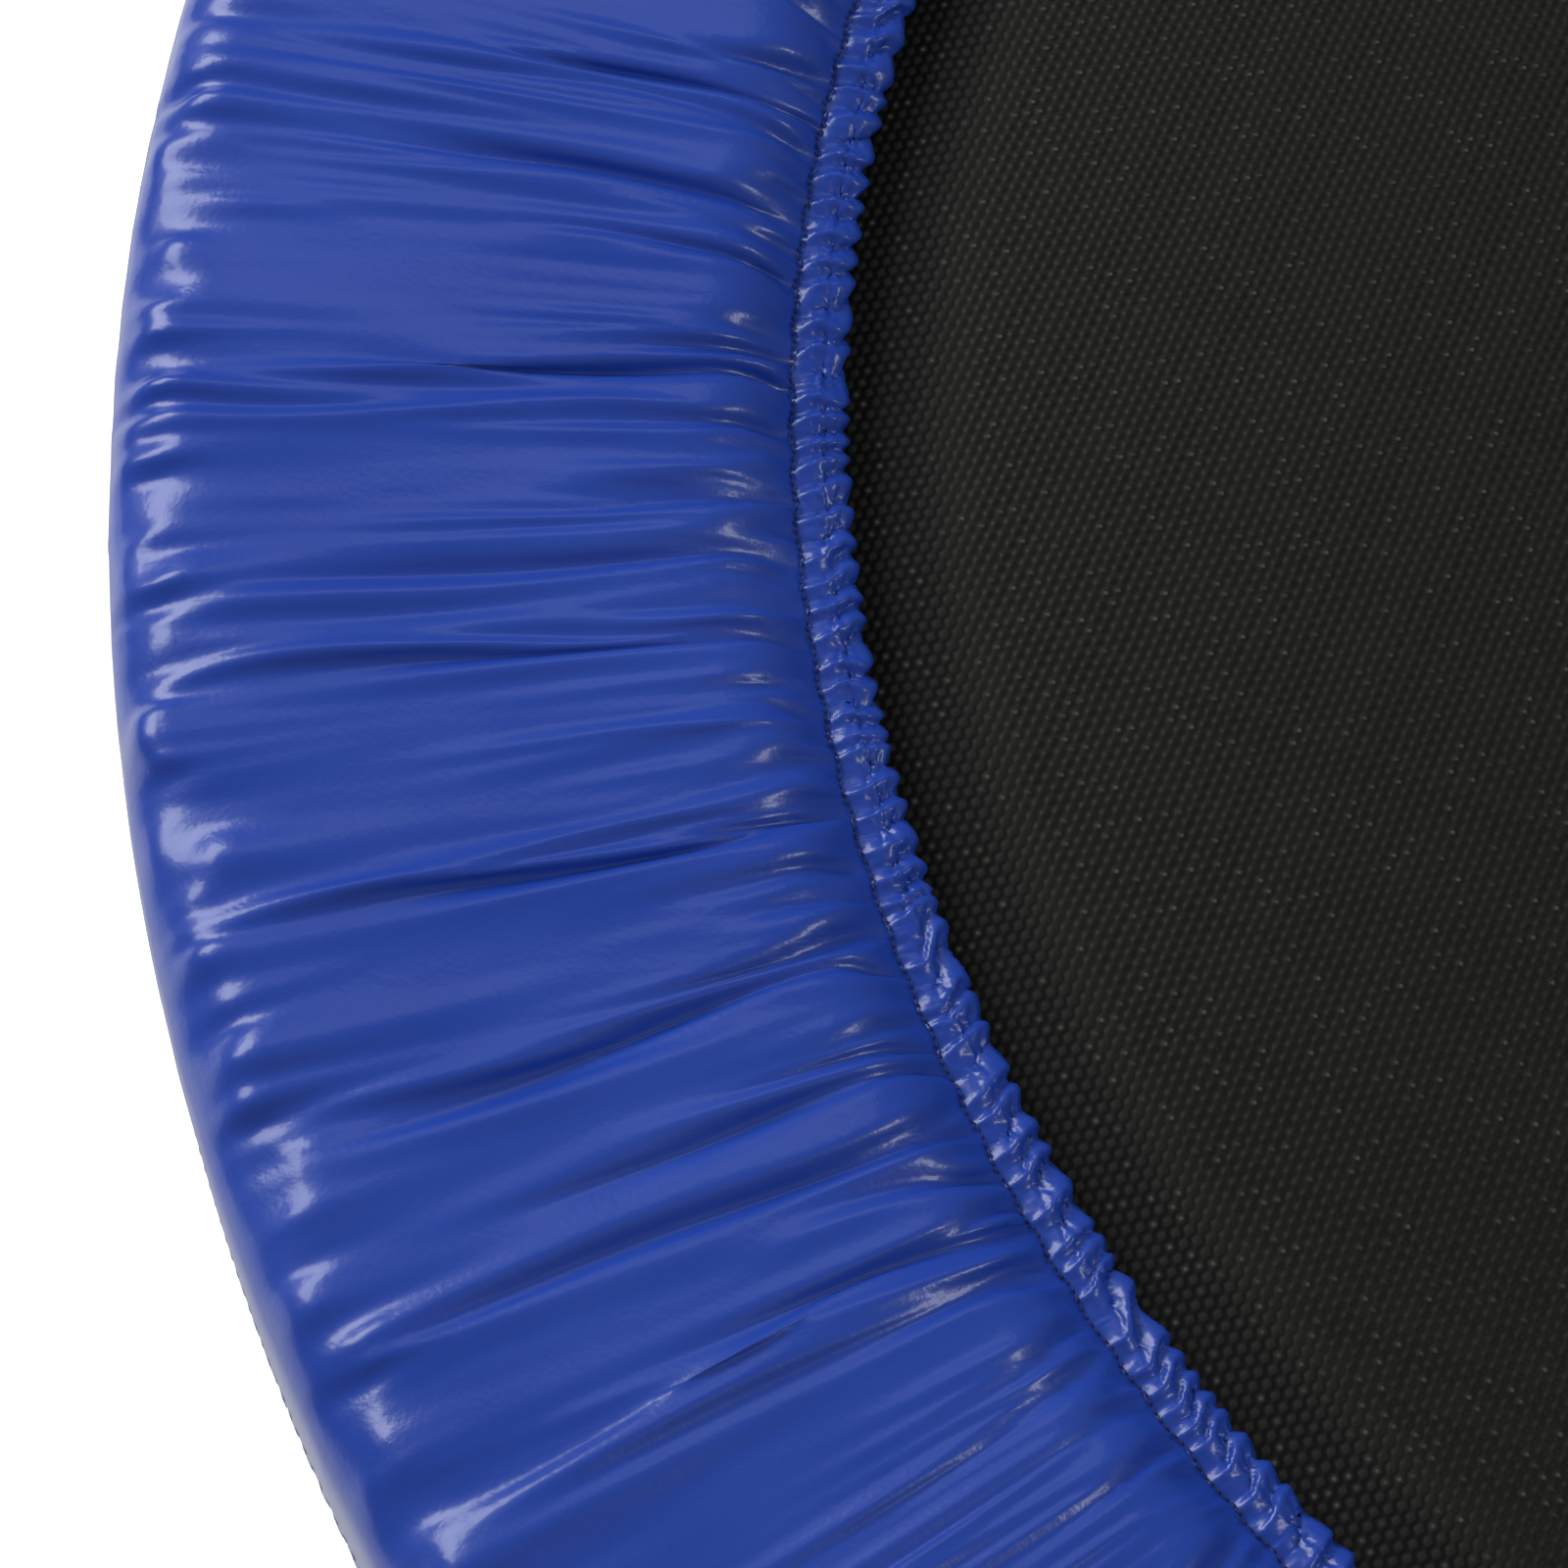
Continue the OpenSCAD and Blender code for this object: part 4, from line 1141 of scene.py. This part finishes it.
def threadedStud():
    root, full, steps = stud["root"], stud["radius"], stud["steps"]
    turns = int((stud["top"] - stud["bottom"]) / stud["pitch"])
    blunt = full - stud["blunt"]
    share, size = np.array([(0, root), (0.3, blunt), (0.5, full), (0.62, blunt)]).T
    turn = (np.arange(steps + 1) / steps)[:, None]
    place = (np.arange(turns)[:, None] + share).ravel() + turn
    height = stud["bottom"] + stud["pitch"] * np.minimum(place, turns)
    rise = np.clip((stud["top"] - height) / stud["runOut"], 0, 1)
    radius = np.minimum(np.tile(size, turns), root + (full - root) * rise)
    thread = onRing(radius, turn * tau, height)
    end = lathe([(r, stud["top"] + z) for r, z in stud["end"]], steps)
    faces = gridFaces(*height.shape, False)
    return joined([(thread.reshape(-1, 3), faces), end, lathe(stud["plug"], stud["plugSides"])])


# weld beads where the sockets meet the round tube, with a weld's ripples
bead = {"radius": 0.0112, "lowest": 0.1968, "off": 0.0002, "size": 0.0014, "ripples": (0.1, 30),
    "uneven": 0.00008, "count": 120, "sides": 9}


def weldBead():
    turn = anglesRound(bead["count"])
    across = bead["radius"] * np.cos(turn)
    under = ring["height"] - np.sqrt(np.maximum((ring["tube"] + bead["off"]) ** 2 - across ** 2, 0))
    path = onRing(bead["radius"], turn, np.minimum(under, bead["lowest"]))
    path += rng.normal(0, bead["uneven"], path.shape)
    depth, count = bead["ripples"]
    return sweepTube(path, bead["size"] * (1 + depth * np.sin(turn * count)), bead["sides"], True)


studPoints, studFaces = threadedStud()
beadPoints, beadFaces = weldBead()
beads = []
for number, angle in enumerate(legAngles):
    place = np.array([ring["radius"] * math.cos(angle), ring["radius"] * math.sin(angle), 0])
    screw = buildMesh(f"threaded_stud_{number + 1}", studPoints + place, studFaces, zincPlate)
    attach(screw, f"leg_{number + 1}")
    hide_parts(f"leg_{number + 1}_stud")
    beads.append((turned(beadPoints, angle) + place, beadFaces))
welds = buildMesh("weld_beads", *joined(beads), weldSteel)
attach(welds, "frame")
print("studs and welds made")

# finishes of the parts that keep the frame's own shape
finishes = {"frame_ring": powderCoat, "leg_sockets": powderCoat, "v_rings": zincPlate,
    "inner_elastic": elasticCloth, "outer_elastic": elasticCloth}
for number in range(1, ring["legs"] + 1):
    finishes[f"leg_{number}_tube"] = powderCoat
    finishes[f"leg_{number}_foot"] = footRubber
for name, finish in finishes.items():
    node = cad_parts[name]
    node.data.materials.clear()
    node.data.materials.append(finish)
print("finishes given")

# studio: white floor, soft light from the left and above
studio = {
    "floor": 1.35, "floorHeight": -0.0003, "floorGlow": 0.55, "floorMirrored": 0.45,
    "ambient": 0.46, "glossy": 0.08, "lampsAim": (-0.1, 0, 0.2),
    "lamps": [((-1.9, -0.1, 1.35), (1.5, 0.9), 30), ((-1.0, 1.3, 2.2), (0.9, 0.9), 2),
        ((1.4, 0.5, 1.8), (0.5, 0.5), 7)],
    "camera": (0.0, -0.5662, 0.9737), "yaw": -36.407, "pitch": 63.446, "lens": 112.5, "clip": (0.01, 50),
}


def makeFloor():
    size = studio["floor"]
    corners = [(x * size, y * size, studio["floorHeight"]) for x, y in ((-1, -1), (1, -1), (1, 1), (-1, 1))]
    sockets = {"Roughness": 0.8, "Base Color": (0.82, 0.82, 0.82, 1), "Emission Color": (1, 1, 1, 1)}
    material, tree, shader = newMaterial("white_floor", sockets)
    grain = grainOver(tree, objectPlace(tree), 400.0, 2.0, 3.0)
    addBump(tree, shader, grain["Height"], 0.0001)
    rays = addNode(tree, "ShaderNodeLightPath").outputs
    seen = maths(tree, "MAXIMUM", rays["Is Glossy Ray"], rays["Is Transmission Ray"])
    seen = maths(tree, "MAXIMUM", rays["Is Camera Ray"], seen)
    glow = maths(tree, "MULTIPLY", seen, studio["floorGlow"])
    mirrored = maths(tree, "MULTIPLY", rays["Is Glossy Ray"], studio["floorMirrored"])
    tree.links.new(maths(tree, "SUBTRACT", glow, mirrored), shader.inputs["Emission Strength"])

    # the floor is seen from above only
    clear = addNode(tree, "ShaderNodeBsdfTransparent")
    below = addNode(tree, "ShaderNodeNewGeometry").outputs["Backfacing"]
    both = addNode(tree, "ShaderNodeMixShader", {0: below, 1: shader.outputs[0], 2: clear.outputs[0]})
    tree.links.new(both.outputs[0], tree.nodes["Material Output"].inputs["Surface"])
    floor = buildMesh("floor", np.array(corners), np.array([[0, 1, 2, 3]]), material)


def makeWorld():
    world = bpy.data.worlds.new("studio")
    bpy.context.scene.world = world
    world.use_nodes = True
    tree = world.node_tree
    sky = tree.nodes["Background"]
    sky.inputs["Color"].default_value = (1, 1, 1, 1)
    rays = addNode(tree, "ShaderNodeLightPath").outputs
    shown = maths(tree, "MAXIMUM", rays["Is Camera Ray"], rays["Is Transmission Ray"])
    less = studio["glossy"] - studio["ambient"]
    level = maths(tree, "MULTIPLY_ADD", rays["Is Glossy Ray"], less, studio["ambient"])
    tree.links.new(maths(tree, "MAXIMUM", shown, level), sky.inputs["Strength"])


def addToScene(name, data, place, ahead):
    holder = bpy.data.objects.new(name, data)
    bpy.context.scene.collection.objects.link(holder)
    holder.location = place
    holder.rotation_euler = ahead.to_track_quat("-Z", "Y").to_euler()
    return holder


def makeLamps():
    for number, (place, size, power) in enumerate(studio["lamps"]):
        lamp = bpy.data.lights.new(f"softbox_{number + 1}", "AREA")
        lamp.shape, lamp.size, lamp.size_y, lamp.energy = "RECTANGLE", *size, power
        addToScene(lamp.name, lamp, place, Vector(studio["lampsAim"]) - Vector(place))


def makeCamera():
    lens = bpy.data.cameras.new("camera")
    lens.lens, lens.clip_start, lens.clip_end = studio["lens"], *studio["clip"]
    yaw, pitch = math.radians(studio["yaw"]), math.radians(studio["pitch"])
    ahead = Vector((math.sin(yaw) * math.cos(pitch), math.cos(yaw) * math.cos(pitch), -math.sin(pitch)))
    bpy.context.scene.camera = addToScene("camera", lens, studio["camera"], ahead)


makeFloor()
makeWorld()
makeLamps()
makeCamera()
bpy.context.scene.view_settings.view_transform = "Standard"
print("studio lit")
